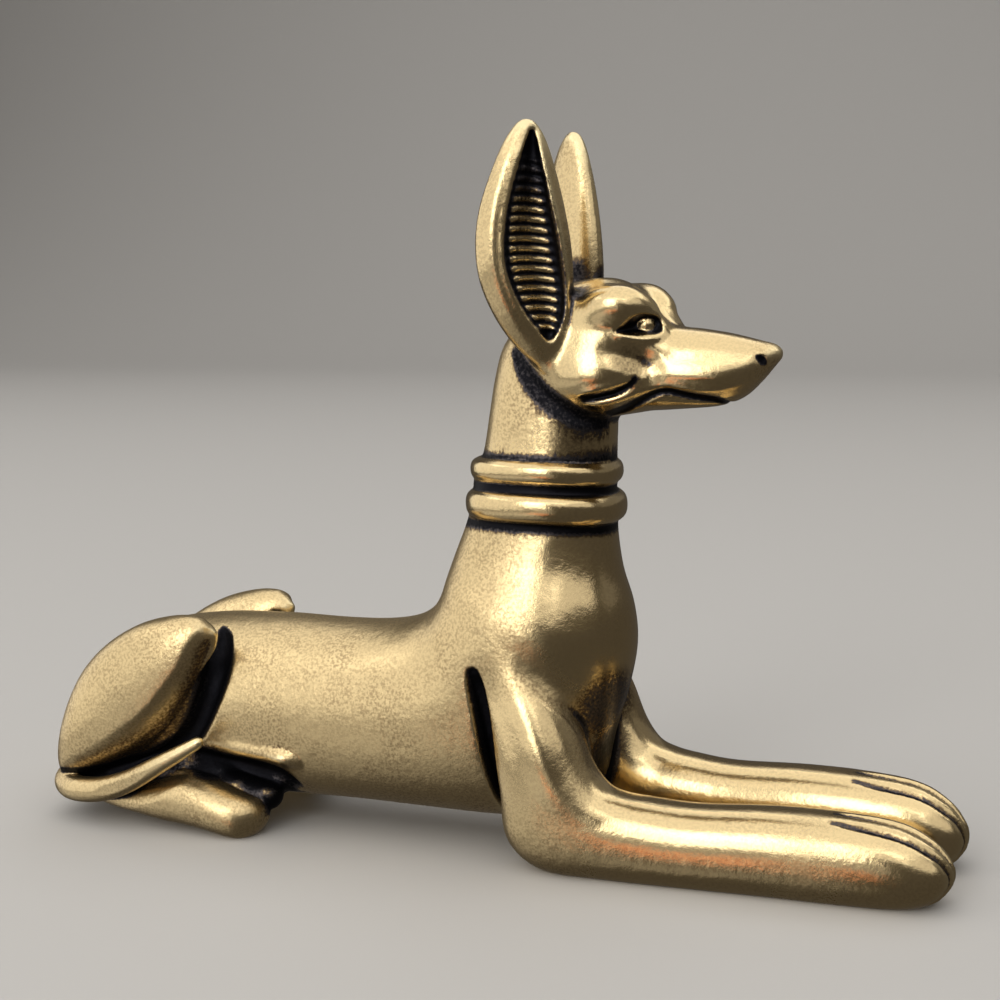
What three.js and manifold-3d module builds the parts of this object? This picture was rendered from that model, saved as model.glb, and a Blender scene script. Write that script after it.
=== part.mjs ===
// A small cast brass figure of a lying jackal: head raised, a double ring round the neck,
// the tail curled along the right haunch. It is one casting, so it is one solid.
// Millimetres. +X runs towards the paws, +Y to the figure's left, +Z up, origin at bottom centre.
import * as THREE from "three";
import { mergeVertices } from "three/addons/utils/BufferGeometryUtils.js";
import Module from "manifold-3d";

// Driving size: paw tips to rump. Pose and proportions are hundredths of it.
const LENGTH = 50;
const SHARE = LENGTH / 100;

// Sizes in millimetres that are set by themselves.
const LOWER_RING_HEIGHT = 1.5;
const UPPER_RING_HEIGHT = 1.35;
const RING_STAND = 0.9;
const RING_GAP = 0.4;
const EAR_RIB_PITCH = 0.5;
const EAR_RIB_DEPTH = 0.16;
const TOE_GROOVE_WIDTH = 0.46;
const MOUTH_GROOVE_WIDTH = 0.34;
const SHOULDER_GROOVE_WIDTH = 0.8;
const HAUNCH_GROOVE_WIDTH = 1.1;
const EYEBALL_DIAMETER = 1.15;
const NOSTRIL_DIAMETER = 0.6;
const EYE_SOCKET_HEIGHT = 1.2;
const CARVING_DEPTH = 0.5;

const SIDES = { right: -1, left: 1 };
const TURN = 2 * Math.PI;

const wasm = await Module();
wasm.setup();

// A closed geometry as a solid, its shared vertices merged.
function solidOf(geometry) {
  const bare = new THREE.BufferGeometry();
  bare.setAttribute("position", geometry.getAttribute("position"));
  bare.setIndex(geometry.getIndex());
  const merged = mergeVertices(bare, 1e-4);
  return new wasm.Manifold(
    new wasm.Mesh({
      numProp: 3,
      vertProperties: new Float32Array(merged.getAttribute("position").array),
      triVerts: new Uint32Array(merged.getIndex().array),
    }),
  );
}

// A solid back as a geometry with flat normals.
function geometryOf(solid) {
  const mesh = solid.getMesh();
  const geometry = new THREE.BufferGeometry();
  geometry.setAttribute("position", new THREE.BufferAttribute(mesh.vertProperties, mesh.numProp));
  geometry.setIndex(new THREE.BufferAttribute(mesh.triVerts, 1));
  const flat = geometry.toNonIndexed();
  flat.computeVertexNormals();
  return flat;
}

// Closed skin over rings of equal length, with a fan over each end.
function loft(rings) {
  const count = rings[0].length;
  const middle = (ring) =>
    ring.reduce((sum, point) => sum.add(point), new THREE.Vector3()).divideScalar(count);
  const points = [...rings.flat(), middle(rings[0]), middle(rings.at(-1))];
  const start = points.length - 2;
  const faces = [];
  for (let i = 0; i < rings.length - 1; i++)
    for (let j = 0; j < count; j++) {
      const a = i * count + j;
      const b = i * count + ((j + 1) % count);
      faces.push(a, b, b + count, a, b + count, a + count);
    }
  const last = (rings.length - 1) * count;
  for (let j = 0; j < count; j++) {
    const next = (j + 1) % count;
    faces.push(start, next, j, start + 1, last + j, last + next);
  }
  const geometry = new THREE.BufferGeometry().setFromPoints(points);
  geometry.setIndex(faces);
  return geometry;
}

// A skin whose rings run round without ends, such as a ring about the neck.
function wheel(rings) {
  const count = rings[0].length;
  const faces = [];
  for (let i = 0; i < rings.length; i++)
    for (let j = 0; j < count; j++) {
      const a = i * count + j;
      const b = i * count + ((j + 1) % count);
      const up = (((i + 1) % rings.length) - i) * count;
      faces.push(a, b, b + up, a, b + up, a + up);
    }
  const geometry = new THREE.BufferGeometry().setFromPoints(rings.flat());
  geometry.setIndex(faces);
  return geometry;
}

// Solid of a loft, turned right side out when its rings run the other way round.
function closed(geometry) {
  const solid = solidOf(geometry);
  if (solid.volume() > 0) return solid;
  const index = geometry.getIndex().array;
  for (let i = 0; i < index.length; i += 3)
    [index[i + 1], index[i + 2]] = [index[i + 2], index[i + 1]];
  return solidOf(geometry);
}

// Rows of numbers with smooth steps between them (Catmull-Rom on every column).
function smoothed(rows, steps) {
  const result = [];
  for (let i = 0; i < rows.length - 1; i++) {
    const [p, q, r, s] = [i - 1, i, i + 1, i + 2].map(
      (k) => rows[Math.min(Math.max(k, 0), rows.length - 1)],
    );
    for (let step = 0; step < steps; step++) {
      const t = step / steps;
      result.push(
        q.map((value, c) => {
          const slope = (r[c] - p[c]) / 2;
          const next = (s[c] - value) / 2;
          const rise = r[c] - value;
          return (
            value + t * (slope + t * (3 * rise - 2 * slope - next + t * (slope + next - 2 * rise)))
          );
        }),
      );
    }
  }
  result.push(rows.at(-1));
  return result;
}

const power = (value, exponent) => Math.sign(value) * Math.abs(value) ** exponent;

// Ring through two points of the XZ plane: an oval of the given half width across Y.
// squareness 2 is an ellipse, more is boxier; lean widens the first point's end.
function ovalRing({ from, to, y = 0, halfWidth, squareness = 2, lean = 0, sides = 24 }) {
  const ring = [];
  for (let j = 0; j < sides; j++) {
    const angle = (j / sides) * TURN;
    const along = power(Math.cos(angle), 2 / squareness);
    const across = power(Math.sin(angle), 2 / squareness) * (1 - lean * along);
    ring.push(
      new THREE.Vector3(
        ((from[0] + to[0]) / 2 + ((to[0] - from[0]) / 2) * along) * SHARE,
        (y + across * halfWidth) * SHARE,
        ((from[1] + to[1]) / 2 + ((to[1] - from[1]) / 2) * along) * SHARE,
      ),
    );
  }
  return ring;
}

// A rod's rounded end: rings of this size, slid out along the rod, in shares of its radius.
const ROD_END = [
  { size: 0.45, slide: 0.88 },
  { size: 0.82, slide: 0.52 },
];
// Near upright, and never quite along a rod, so that a rod's rings don't twist.
const UPWARD = new THREE.Vector3(0, 0.3, 1);

// Round rod along points (x, y, z, radius), in hundredths, its ends rounded off.
function rod(points, { steps = 4, sides = 10, flat = 1 } = {}) {
  const path = smoothed(points, steps);
  const rings = [];
  const ring = (row, ahead, size, slide) => {
    const side = new THREE.Vector3().crossVectors(ahead, UPWARD).normalize();
    const up = new THREE.Vector3().crossVectors(side, ahead).normalize();
    const made = [];
    for (let j = 0; j < sides; j++) {
      const angle = (j / sides) * TURN;
      made.push(
        new THREE.Vector3(row[0], row[1], row[2])
          .addScaledVector(ahead, slide * row[3])
          .addScaledVector(side, Math.cos(angle) * row[3] * size * flat)
          .addScaledVector(up, Math.sin(angle) * row[3] * size)
          .multiplyScalar(SHARE),
      );
    }
    rings.push(made);
  };
  path.forEach((row, i) => {
    const before = path[Math.max(i - 1, 0)];
    const after = path[Math.min(i + 1, path.length - 1)];
    const ahead = new THREE.Vector3(
      after[0] - before[0],
      after[1] - before[1],
      after[2] - before[2],
    ).normalize();
    if (i === 0) ROD_END.forEach(({ size, slide }) => ring(row, ahead, size, -slide));
    ring(row, ahead, 1, 0);
    if (i === path.length - 1)
      ROD_END.toReversed().forEach(({ size, slide }) => ring(row, ahead, size, slide));
  });
  return closed(loft(rings));
}

const joined = (solids) => solids.reduce((sum, solid) => sum.add(solid));
const bothSides = (make) => [make(SIDES.right), make(SIDES.left)];

// Rump, trunk, chest and neck in one skin. The rings fan from upright across the trunk
// to level across the neck. Row: back x, z, belly x, z, half width, squareness, lean.
const TRUNK = [
  [-48.8, 9, -48.8, 4.2, 4.4, 2.2, 0],
  [-48, 13, -48, 3.2, 7.6, 2.3, 0],
  [-45.4, 17.6, -45.4, 2.8, 9.0, 2.3, 0],
  [-40, 21, -40, 2.6, 9.2, 2.3, 0.05],
  [-33, 22.4, -33, 2.6, 8.9, 2.2, 0.03],
  [-25, 22.8, -24, 2.8, 8.7, 2.2, 0],
  [-18, 22.7, -14, 3.0, 8.9, 2.2, 0],
  [-13.2, 22.8, -5, 3.0, 9.3, 2.2, 0],
  [-9.8, 23.2, 3, 3.0, 9.6, 2.2, 0.05],
  [-7.4, 23.9, 9.2, 3.6, 9.6, 2.2, 0.12],
  [-5.8, 24.8, 12.8, 6.8, 9.5, 2.1, 0.2],
  [-4.6, 25.9, 14.3, 12.4, 9.3, 2.1, 0.2],
  [-3.9, 27.2, 15.8, 17.4, 9.0, 2.1, 0.12],
  [-3.5, 28.6, 16.6, 21.8, 8.6, 2.1, 0.05],
  [-3.0, 30.2, 16.4, 25.8, 8.1, 2.1, 0],
  [-2.2, 32.2, 15.4, 29.6, 7.5, 2.2, 0],
  [-1.4, 34.2, 14.8, 33.2, 7.0, 2.2, 0],
  [-0.7, 36.4, 14.6, 36.4, 6.5, 2.2, 0],
  [0.1, 39.8, 14.6, 39.8, 6.1, 2.2, 0],
  [0.9, 42.6, 14.7, 42.8, 5.8, 2.2, 0],
  [1.5, 46, 14.8, 46.4, 5.6, 2.2, 0],
  [2.1, 49.6, 14.4, 49.6, 5.3, 2.1, 0],
  [3.0, 52.8, 13.2, 52.8, 4.6, 2, 0],
  [4.8, 55.2, 11.6, 55.2, 3.2, 2, 0],
];

function trunk() {
  return closed(
    loft(
      TRUNK.map(([bx, bz, vx, vz, halfWidth, squareness, lean]) =>
        ovalRing({ from: [vx, vz], to: [bx, bz], halfWidth, squareness, lean: -lean, sides: 22 }),
      ),
    ),
  );
}

// Shoulder, elbow, forearm and paw in one skin.
// Row: back or under x, z, front or upper x, z, y, half width, squareness.
const FORELEG = [
  [3.6, 22.6, 7.2, 23.6, 3.8, 2.4, 2],
  [3.4, 20.2, 9.4, 21.8, 5.6, 3.4, 2],
  [3.6, 16.4, 11.6, 18.6, 6.6, 3.9, 2.1],
  [4.4, 11.6, 13.4, 14.9, 7.2, 4.2, 2.2],
  [5.2, 7.0, 14.8, 11.4, 7.4, 4.3, 2.3],
  [6.2, 2.6, 16.4, 9.3, 7.4, 4.3, 2.4],
  [9.6, 0, 18.2, 8.6, 7.3, 4.2, 2.4],
  [16, -0.5, 20.4, 8.3, 7.0, 4.1, 2.4],
  [24, -0.6, 25.2, 8.0, 6.6, 4.0, 2.4],
  [33, -0.6, 33.2, 8.4, 6.0, 4.2, 2.4],
  [40.6, -0.6, 40.6, 8.3, 5.7, 4.3, 2.4],
  [45.2, -0.4, 45.2, 7.7, 5.5, 4.1, 2.3],
  [48.2, 0.5, 48.1, 6.2, 5.45, 3.3, 2.1],
  [49.6, 1.9, 49.5, 4.7, 5.4, 2.0, 2],
  [50, 2.7, 50, 3.7, 5.4, 0.9, 2],
];

// The left elbow lies a little further forward and fuller than the right one.
const STANCE = new Map([
  [SIDES.right, { forward: -0.6, fullness: 0.98 }],
  [SIDES.left, { forward: 0.8, fullness: 1.07 }],
]);

function foreleg(side) {
  const { forward, fullness } = STANCE.get(side);
  const moved = (x) => x + forward * (1 - x / FORELEG.at(-1)[0]);
  return closed(
    loft(
      FORELEG.map(([bx, bz, fx, fz, y, halfWidth, squareness]) =>
        ovalRing({
          from: [moved(bx), bz],
          to: [moved(fx), fz * fullness],
          y: side * y,
          halfWidth,
          squareness,
          sides: 14,
        }),
      ),
    ),
  );
}

// Leaf-shaped haunch, a thick shell that stands off the hip.
// Row: upper edge x, z, lower edge x, z, inner y, outer y.
const HAUNCH = [
  [-48.8, 4.6, -47.6, 4.2, 6, 9.6],
  [-48.8, 7.4, -45.0, 4.5, 5, 11.2],
  [-48.1, 10.6, -41.4, 5.6, 4.4, 12.2],
  [-46.6, 14.3, -37.4, 7.1, 4.2, 12.7],
  [-44.4, 17.7, -34.2, 9.2, 4.4, 12.8],
  [-41.2, 20.5, -31.8, 12.0, 4.8, 12.7],
  [-37.2, 22.5, -30.0, 15.4, 5.6, 12.4],
  [-33.2, 23.4, -28.7, 18.7, 6.6, 12],
  [-30.2, 23.6, -27.9, 21.2, 7.8, 11.5],
  [-28.8, 23.2, -27.8, 22.2, 8.8, 10.8],
];

function haunch(side) {
  return closed(
    loft(
      smoothed(HAUNCH, 2).map(([ux, uz, lx, lz, inner, outer]) =>
        ovalRing({
          from: [lx, lz],
          to: [ux, uz],
          y: (side * (inner + outer)) / 2,
          halfWidth: (outer - inner) / 2,
          squareness: 2.3,
          sides: 10,
        }),
      ),
    ),
  );
}

// Hind foot lying beside the belly. Row: x, under z, upper z, y, half width.
const HIND_FOOT = [
  [-46, 2.4, 4.4, 8.0, 1.6],
  [-43, 1.8, 5.0, 8.4, 2.4],
  [-38, 1.2, 5.4, 8.7, 2.9],
  [-33, 0.8, 5.6, 8.9, 3.1],
  [-29.4, 0.3, 5.3, 8.9, 3.2],
  [-26.4, -0.2, 4.9, 8.8, 3.2],
  [-24.4, -0.3, 4.6, 8.7, 2.9],
  [-22.8, 0.4, 4.1, 8.5, 2.1],
  [-22, 1.4, 3.3, 8.4, 1.1],
];

function hindFoot(side) {
  return closed(
    loft(
      HIND_FOOT.map(([x, under, upper, y, halfWidth]) =>
        ovalRing({ from: [x, under], to: [x, upper], y: side * y, halfWidth, squareness: 2.3, sides: 10 }),
      ),
    ),
  );
}

// Rows of x, y, z, radius with y turned to one side.
const onSide = (side, rows) => rows.map(([x, y, z, radius]) => [x, side * y, z, radius]);

// Thigh under the haunch, which joins the hind foot to the trunk. Row: x, y, z, radius.
const THIGH = [
  [-44.5, 6.4, 5.6, 2.8],
  [-36, 6.4, 6.0, 3.6],
  [-28, 6.0, 5.0, 3.0],
];

function thigh(side) {
  return rod(onSide(side, THIGH), { steps: 1, sides: 8 });
}

// The tail leaves the rump and lies along the right side, rising to its tip.
// Row: x, y, z, radius.
const TAIL = [
  [-47.0, 2, 4.6, 1.5],
  [-48.7, -3.4, 4.2, 1.5],
  [-48.7, -8, 3.9, 1.5],
  [-46.2, -10.6, 3.7, 1.45],
  [-42, -11.6, 4.2, 1.4],
  [-38, -11.9, 5.6, 1.25],
  [-33.5, -11.9, 8.1, 1.0],
  [-29.2, -11.4, 10.6, 0.7],
];

// Skull and muzzle. Row: x, under z, upper z, half width, squareness, lean to the jaw.
const HEAD = [
  [4.4, 51.2, 54.2, 1.6, 2, 0],
  [5.6, 48.8, 56.6, 3.5, 2, 0.1],
  [8.2, 46.9, 58.8, 5.1, 2.2, 0.16],
  [11.4, 46.0, 59.8, 6.0, 2.4, 0.18],
  [14.6, 45.8, 59.9, 6.2, 2.4, 0.16],
  [17.0, 46.1, 59.3, 5.9, 2.3, 0.12],
  [18.8, 46.4, 58, 5.3, 2.3, 0.08],
  [20.2, 46.5, 55.9, 4.7, 2.4, 0.05],
  [21.6, 46.6, 54.9, 4.2, 2.4, 0.02],
  [24, 46.8, 54.6, 3.8, 2.4, 0],
  [26.6, 47.2, 54.2, 3.4, 2.3, 0],
  [28.4, 48.0, 53.8, 3.0, 2.2, 0],
  [30, 49.5, 53.4, 2.4, 2.1, 0],
  [31.2, 50.9, 53.1, 1.6, 2, 0],
  [31.9, 51.7, 52.6, 0.7, 2, 0],
];

function head() {
  return closed(
    loft(
      HEAD.map(([x, under, upper, halfWidth, squareness, lean]) =>
        ovalRing({ from: [x, under], to: [x, upper], halfWidth, squareness, lean, sides: 18 }),
      ),
    ),
  );
}

// The lowest share of the half height at which a carving still finds the head's side.
const LOWEST_SIDE = -0.97;

// How far the head's side stands out at x, z.
function headSide(x, z) {
  const after = HEAD.findIndex((row) => row[0] > x);
  const [a, b] = [HEAD[after - 1], HEAD[after]];
  const share = (x - a[0]) / (b[0] - a[0]);
  const [, under, upper, halfWidth, squareness, lean] = a.map((v, c) => v + share * (b[c] - v));
  const along = Math.max((2 * z - under - upper) / (upper - under), LOWEST_SIDE);
  const round = (1 - Math.abs(along) ** squareness) ** (1 / squareness);
  return halfWidth * (1 - lean * along) * round;
}

// One ear as a leaf of ovals turned a little outward.
// Row: height z, middle x, middle y, half width, half depth.
const EAR_TURN = THREE.MathUtils.degToRad(32);
const EAR = [
  [50.8, 9.6, 5.3, 0.7, 0.7],
  [53, 9.0, 5.6, 2.5, 1.5],
  [56, 8.4, 6.0, 3.9, 2.0],
  [59.5, 7.9, 6.5, 4.7, 2.2],
  [63, 7.7, 6.8, 4.8, 2.2],
  [66.5, 7.7, 7.0, 4.3, 2.0],
  [70, 7.9, 7.0, 3.3, 1.6],
  [73, 8.1, 6.9, 2.0, 1.1],
  [74.7, 8.2, 6.85, 0.9, 0.6],
  [75.2, 8.2, 6.8, 0.35, 0.25],
];

// The hollow in the ear's outer face. Row: height z, shift towards the front rim,
// half width, depth.
const EAR_HOLLOW = [
  [53.7, 0.7, 0.25, 0.5],
  [54.8, 0.8, 1.1, 1.2],
  [56.6, 0.8, 2.1, 1.9],
  [59.2, 0.8, 2.8, 2.3],
  [62, 0.6, 2.9, 2.4],
  [65.4, 0.5, 2.5, 2.2],
  [68.8, 0.4, 1.8, 1.8],
  [71.8, 0.4, 1.0, 1.3],
  [74.2, 0.5, 0.25, 0.6],
];

// Directions of one ear: out through its opening, and across it to the front rim.
function earFrame(side) {
  return {
    out: new THREE.Vector3(Math.sin(EAR_TURN), side * Math.cos(EAR_TURN), 0),
    rim: new THREE.Vector3(Math.cos(EAR_TURN), -side * Math.sin(EAR_TURN), 0),
  };
}

// Level oval of the ear at height z, its middle moved along the rim and outward.
function earRing(side, { z, x, y, halfWidth, halfDepth, shift = 0, outward = 0, sides = 12 }) {
  const { out, rim } = earFrame(side);
  const ring = [];
  for (let j = 0; j < sides; j++) {
    const angle = (j / sides) * TURN;
    ring.push(
      new THREE.Vector3(x, side * y, z)
        .addScaledVector(rim, shift + Math.cos(angle) * halfWidth)
        .addScaledVector(out, outward + Math.sin(angle) * halfDepth)
        .multiplyScalar(SHARE),
    );
  }
  return ring;
}

function ear(side) {
  return closed(
    loft(
      EAR.map(([z, x, y, halfWidth, halfDepth]) =>
        earRing(side, { z, x, y, halfWidth, halfDepth }),
      ),
    ),
  );
}

// The row of a table that lies nearest to height z.
function rowAt(rows, z) {
  return rows.reduce((best, row) => (Math.abs(row[0] - z) < Math.abs(best[0] - z) ? row : best));
}

const EAR_ROWS = smoothed(EAR, 4);

// The hollow's floor carries level ribs, one to each pitch.
function earHollow(side) {
  const pitch = EAR_RIB_PITCH / SHARE;
  const first = EAR_HOLLOW[0][0];
  const last = EAR_HOLLOW.at(-1)[0];
  const table = smoothed(EAR_HOLLOW, 6);
  const rings = [];
  const count = Math.round((last - first) / (pitch / 2));
  for (let i = 0; i <= count; i++) {
    const z = first + ((last - first) * i) / count;
    const [, x, y, , halfDepth] = rowAt(EAR_ROWS, z);
    const [, shift, halfWidth, depth] = rowAt(table, z);
    const rib = i % 2 === 1 && depth * SHARE > 3 * EAR_RIB_DEPTH ? EAR_RIB_DEPTH / SHARE : 0;
    const inside = { halfWidth, halfDepth: depth - rib, outward: halfDepth, sides: 6 };
    rings.push(earRing(side, { z, x, y, shift, ...inside }));
  }
  return closed(loft(rings));
}

// The two rings of the collar lie above and below a gap at this height. Each has its middle
// at x and an outside of halfLength by halfWidth, in hundredths.
const COLLAR_GAP_LEVEL = 38.15;
const LOWER_RING = { x: 7.2, halfLength: 8.5, halfWidth: 7.5 };
const UPPER_RING = { x: 7.3, halfLength: 8.1, halfWidth: 7.0 };
const RING_PLAN_SQUARENESS = 2.3;
const RING_BEAD_SQUARENESS = 2.6;

// A rounded ring round the neck, its middle at height z in millimetres.
function neckRing({ x, halfLength, halfWidth }, { z, height }) {
  const turns = 20;
  const sides = 8;
  const rings = [];
  for (let i = 0; i < turns; i++) {
    const angle = (i / turns) * TURN;
    const outX = power(Math.cos(angle), 2 / RING_PLAN_SQUARENESS);
    const outY = power(Math.sin(angle), 2 / RING_PLAN_SQUARENESS);
    const ring = [];
    for (let j = 0; j < sides; j++) {
      const round = (j / sides) * TURN;
      const reach = -RING_STAND * (1 - power(Math.cos(round), 2 / RING_BEAD_SQUARENESS));
      ring.push(
        new THREE.Vector3(
          x * SHARE + outX * (halfLength * SHARE + reach),
          outY * (halfWidth * SHARE + reach),
          z + (power(Math.sin(round), 2 / RING_BEAD_SQUARENESS) * height) / 2,
        ),
      );
    }
    rings.push(ring);
  }
  return closed(wheel(rings));
}

function collar() {
  const gapMiddle = COLLAR_GAP_LEVEL * SHARE;
  const lower = gapMiddle - (RING_GAP + LOWER_RING_HEIGHT) / 2;
  const upper = gapMiddle + (RING_GAP + UPPER_RING_HEIGHT) / 2;
  return [
    neckRing(LOWER_RING, { z: lower, height: LOWER_RING_HEIGHT }),
    neckRing(UPPER_RING, { z: upper, height: UPPER_RING_HEIGHT }),
  ];
}

// Brow ridge over each eye. Row: x, y, z, radius.
const BROW = [
  [11.4, 5.3, 56.2, 1.2],
  [14.2, 5.4, 57.3, 1.6],
  [17.2, 4.2, 57.4, 1.7],
  [19.4, 2.5, 56.4, 1.4],
];

function brow(side) {
  return rod(onSide(side, BROW), { steps: 2, sides: 6 });
}

// Middle of the eyeball, in hundredths.
const EYE = new THREE.Vector3(18.6, 4.3, 55.2);

function eyeball(side) {
  const ball = new THREE.IcosahedronGeometry(EYEBALL_DIAMETER / 2, 1);
  ball.translate(EYE.x * SHARE, side * EYE.y * SHARE, EYE.z * SHARE);
  return closed(ball);
}

// A cut along rows of x, y, z in hundredths; width and depth are in millimetres.
// level cuts go in sideways, the others go down.
function groove(side, rows, { width, depth, level = false, steps = 1, sides = 4, taper = 0.5 }) {
  const upright = (level ? width / 2 : depth) / SHARE;
  const sideways = (level ? depth : width / 2) / SHARE;
  const last = rows.length - 1;
  return rod(
    rows.map(([x, y, z], i) => [x, side * y, z, upright * (i === 0 || i === last ? taper : 1)]),
    { steps, sides, flat: sideways / upright },
  );
}

// Rows of x, z on the head's side.
const EYE_SOCKET = [
  [15.2, 54.7],
  [17.2, 55.0],
  [19.0, 55.2],
  [20.4, 55.0],
];

// Mouth line from under the nose back to the corner, and the short fold above the corner.
const MOUTH = [
  [30.4, 50.4],
  [29.0, 48.9],
  [26.6, 48.2],
  [23.6, 48.5],
  [20.6, 48.7],
  [18.6, 47.8],
  [16, 46.9],
  [13.4, 46.7],
];
const LIP_FOLD = [
  [13.4, 47.9],
  [15.6, 48.4],
  [18.6, 49.8],
];
const onHead = (rows) => rows.map(([x, z]) => [x, headSide(x, z), z]);

// Groove behind the shoulder, rounded at its top.
const SHOULDER = [
  [2.0, 9.6, 20.4],
  [2.6, 9.9, 16],
  [3.2, 9.6, 11.6],
  [4.0, 8.8, 7.6],
  [4.4, 7.2, 4.2],
];

// Groove round the front and lower edge of the haunch.
const HAUNCH_EDGE = [
  [-27.0, 7.2, 23.0],
  [-26.4, 8.6, 20],
  [-27.8, 9.1, 15.4],
  [-30.0, 9.3, 11.4],
  [-33.2, 9.7, 8.4],
  [-38, 10.1, 6.6],
  [-43, 10.2, 5.7],
];

// Three grooves part the four toes. Row: x, middle y, spread of the outer grooves, z, droop.
const TOE_LINES = [
  [40.5, 5.7, 2.1, 8.4, 0.5],
  [44, 5.55, 2.05, 7.9, 0.6],
  [47.2, 5.5, 1.8, 6.6, 0.5],
  [49.3, 5.45, 1.3, 4.7, 0.3],
  [50.4, 5.4, 1.1, 2.6, 0],
];

function toeGrooves(side) {
  return [-1, 0, 1].map((lane) =>
    groove(
      side,
      TOE_LINES.map(([x, y, spread, z, droop]) => [x, y + lane * spread, z - Math.abs(lane) * droop]),
      { width: TOE_GROOVE_WIDTH, depth: CARVING_DEPTH, taper: 0.3 },
    ),
  );
}

// The nostril runs forward and down, and narrows. Row: x, y, z, radius.
const NOSTRIL = [
  [29.8, 1.9, 52.3, NOSTRIL_DIAMETER / 2 / SHARE],
  [31.1, 1.5, 51.3, NOSTRIL_DIAMETER / 3 / SHARE],
];

function nostril(side) {
  return rod(onSide(side, NOSTRIL), { steps: 1, sides: 6 });
}

function cuts(side) {
  const lips = { width: MOUTH_GROOVE_WIDTH, depth: CARVING_DEPTH, level: true };
  const shoulder = { width: SHOULDER_GROOVE_WIDTH, depth: SHOULDER_GROOVE_WIDTH, sides: 6 };
  const haunchEdge = { width: HAUNCH_GROOVE_WIDTH, depth: HAUNCH_GROOVE_WIDTH / 2, sides: 6 };
  return [
    earHollow(side),
    nostril(side),
    groove(side, onHead(EYE_SOCKET), { ...lips, width: EYE_SOCKET_HEIGHT, sides: 6 }),
    groove(side, onHead(MOUTH), lips),
    groove(side, onHead(LIP_FOLD), lips),
    groove(side, SHOULDER, shoulder),
    groove(side, HAUNCH_EDGE, haunchEdge),
    ...toeGrooves(side),
  ];
}

// Everything below the ground plane is cut off flat, which makes the soles.
function belowGround() {
  const slab = new THREE.BoxGeometry(2 * LENGTH, LENGTH, LENGTH / 5);
  slab.translate(0, 0, -LENGTH / 10);
  return closed(slab);
}

function build() {
  const forms = joined([
    trunk(),
    head(),
    ...bothSides(foreleg),
    ...bothSides(haunch),
    ...bothSides(thigh),
    ...bothSides(hindFoot),
    ...bothSides(ear),
    ...bothSides(brow),
    ...collar(),
  ]);
  const carved = forms.subtract(joined(bothSides(cuts).flat()));
  const finished = joined([carved, rod(TAIL, { steps: 2, sides: 8 }), ...bothSides(eyeball)]);
  return finished.subtract(belowGround());
}

// The origin goes to the middle of the outline; the soles stay on the ground plane.
function centred(geometry) {
  geometry.computeBoundingBox();
  const middle = geometry.boundingBox.getCenter(new THREE.Vector3());
  return geometry.translate(-middle.x, -middle.y, 0);
}

const brass = new THREE.MeshStandardMaterial({ color: 0xb08d4f, roughness: 0.35, metalness: 1 });
const figure = new THREE.Mesh(centred(geometryOf(build())), brass);
figure.name = "jackal_figure";

const part = new THREE.Group();
part.add(figure);

export default part;
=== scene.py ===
import logging
from dataclasses import dataclass, field
from enum import Enum

import bpy
import numpy as np
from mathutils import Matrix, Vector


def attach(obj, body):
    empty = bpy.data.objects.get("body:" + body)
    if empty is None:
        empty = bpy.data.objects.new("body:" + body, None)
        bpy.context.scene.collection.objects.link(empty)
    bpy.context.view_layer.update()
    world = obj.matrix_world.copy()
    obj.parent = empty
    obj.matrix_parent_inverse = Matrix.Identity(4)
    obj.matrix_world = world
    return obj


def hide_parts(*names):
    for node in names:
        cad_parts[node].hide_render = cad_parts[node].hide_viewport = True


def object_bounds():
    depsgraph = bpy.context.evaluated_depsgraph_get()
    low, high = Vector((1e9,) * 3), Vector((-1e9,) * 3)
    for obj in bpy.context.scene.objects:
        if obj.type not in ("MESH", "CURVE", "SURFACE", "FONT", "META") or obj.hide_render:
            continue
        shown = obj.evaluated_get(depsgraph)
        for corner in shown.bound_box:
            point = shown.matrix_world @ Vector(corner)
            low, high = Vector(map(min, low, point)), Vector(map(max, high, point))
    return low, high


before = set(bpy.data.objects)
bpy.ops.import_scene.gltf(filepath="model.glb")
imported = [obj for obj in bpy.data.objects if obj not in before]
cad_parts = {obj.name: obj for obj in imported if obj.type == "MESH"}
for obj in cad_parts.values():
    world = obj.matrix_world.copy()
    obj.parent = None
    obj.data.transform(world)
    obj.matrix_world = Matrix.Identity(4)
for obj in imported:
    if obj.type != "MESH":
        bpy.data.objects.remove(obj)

import openvdb as vdb
from mathutils import Matrix, Vector

CAD_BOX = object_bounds()
LOG = logging.getLogger("jackal")

# Metres in a hundredth of the length, and the shift that centres the outline, in hundredths.
SHARE = 0.0005
CENTRING = np.array([0.232, 0.146, 0.0])
# Step of the grid, and the distance at which its values level off.
CELL = 0.2
BAND = 3.2
TURN = 2 * np.pi
# Rings of a rod's round end, the first one's share of a quarter turn, and a way that no rod takes.
END_RINGS = 4
END_START = 0.1
ROD_TOP = (0.0, 0.3, 1.0)
# Half widths that stand for being off a line, the share of one that a flat line keeps level, and
# the least square of a length that a place along a line is divided by.
OFF_LINE = 9.0
FLAT_SHARE = 0.6
LEAST_LENGTH = 1e-9
# Distances from the surface within which a line acts: the least, and more than its depth.
DRAW_LEAST = 1.6
DRAW_MORE = 0.8
# Least square of a slope that a step towards the surface is divided by.
LEAST_SLOPE = 0.05


class Side(Enum):
    """Side of the figure, as the sign of Y."""

    RIGHT = -1
    LEFT = 1


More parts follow.
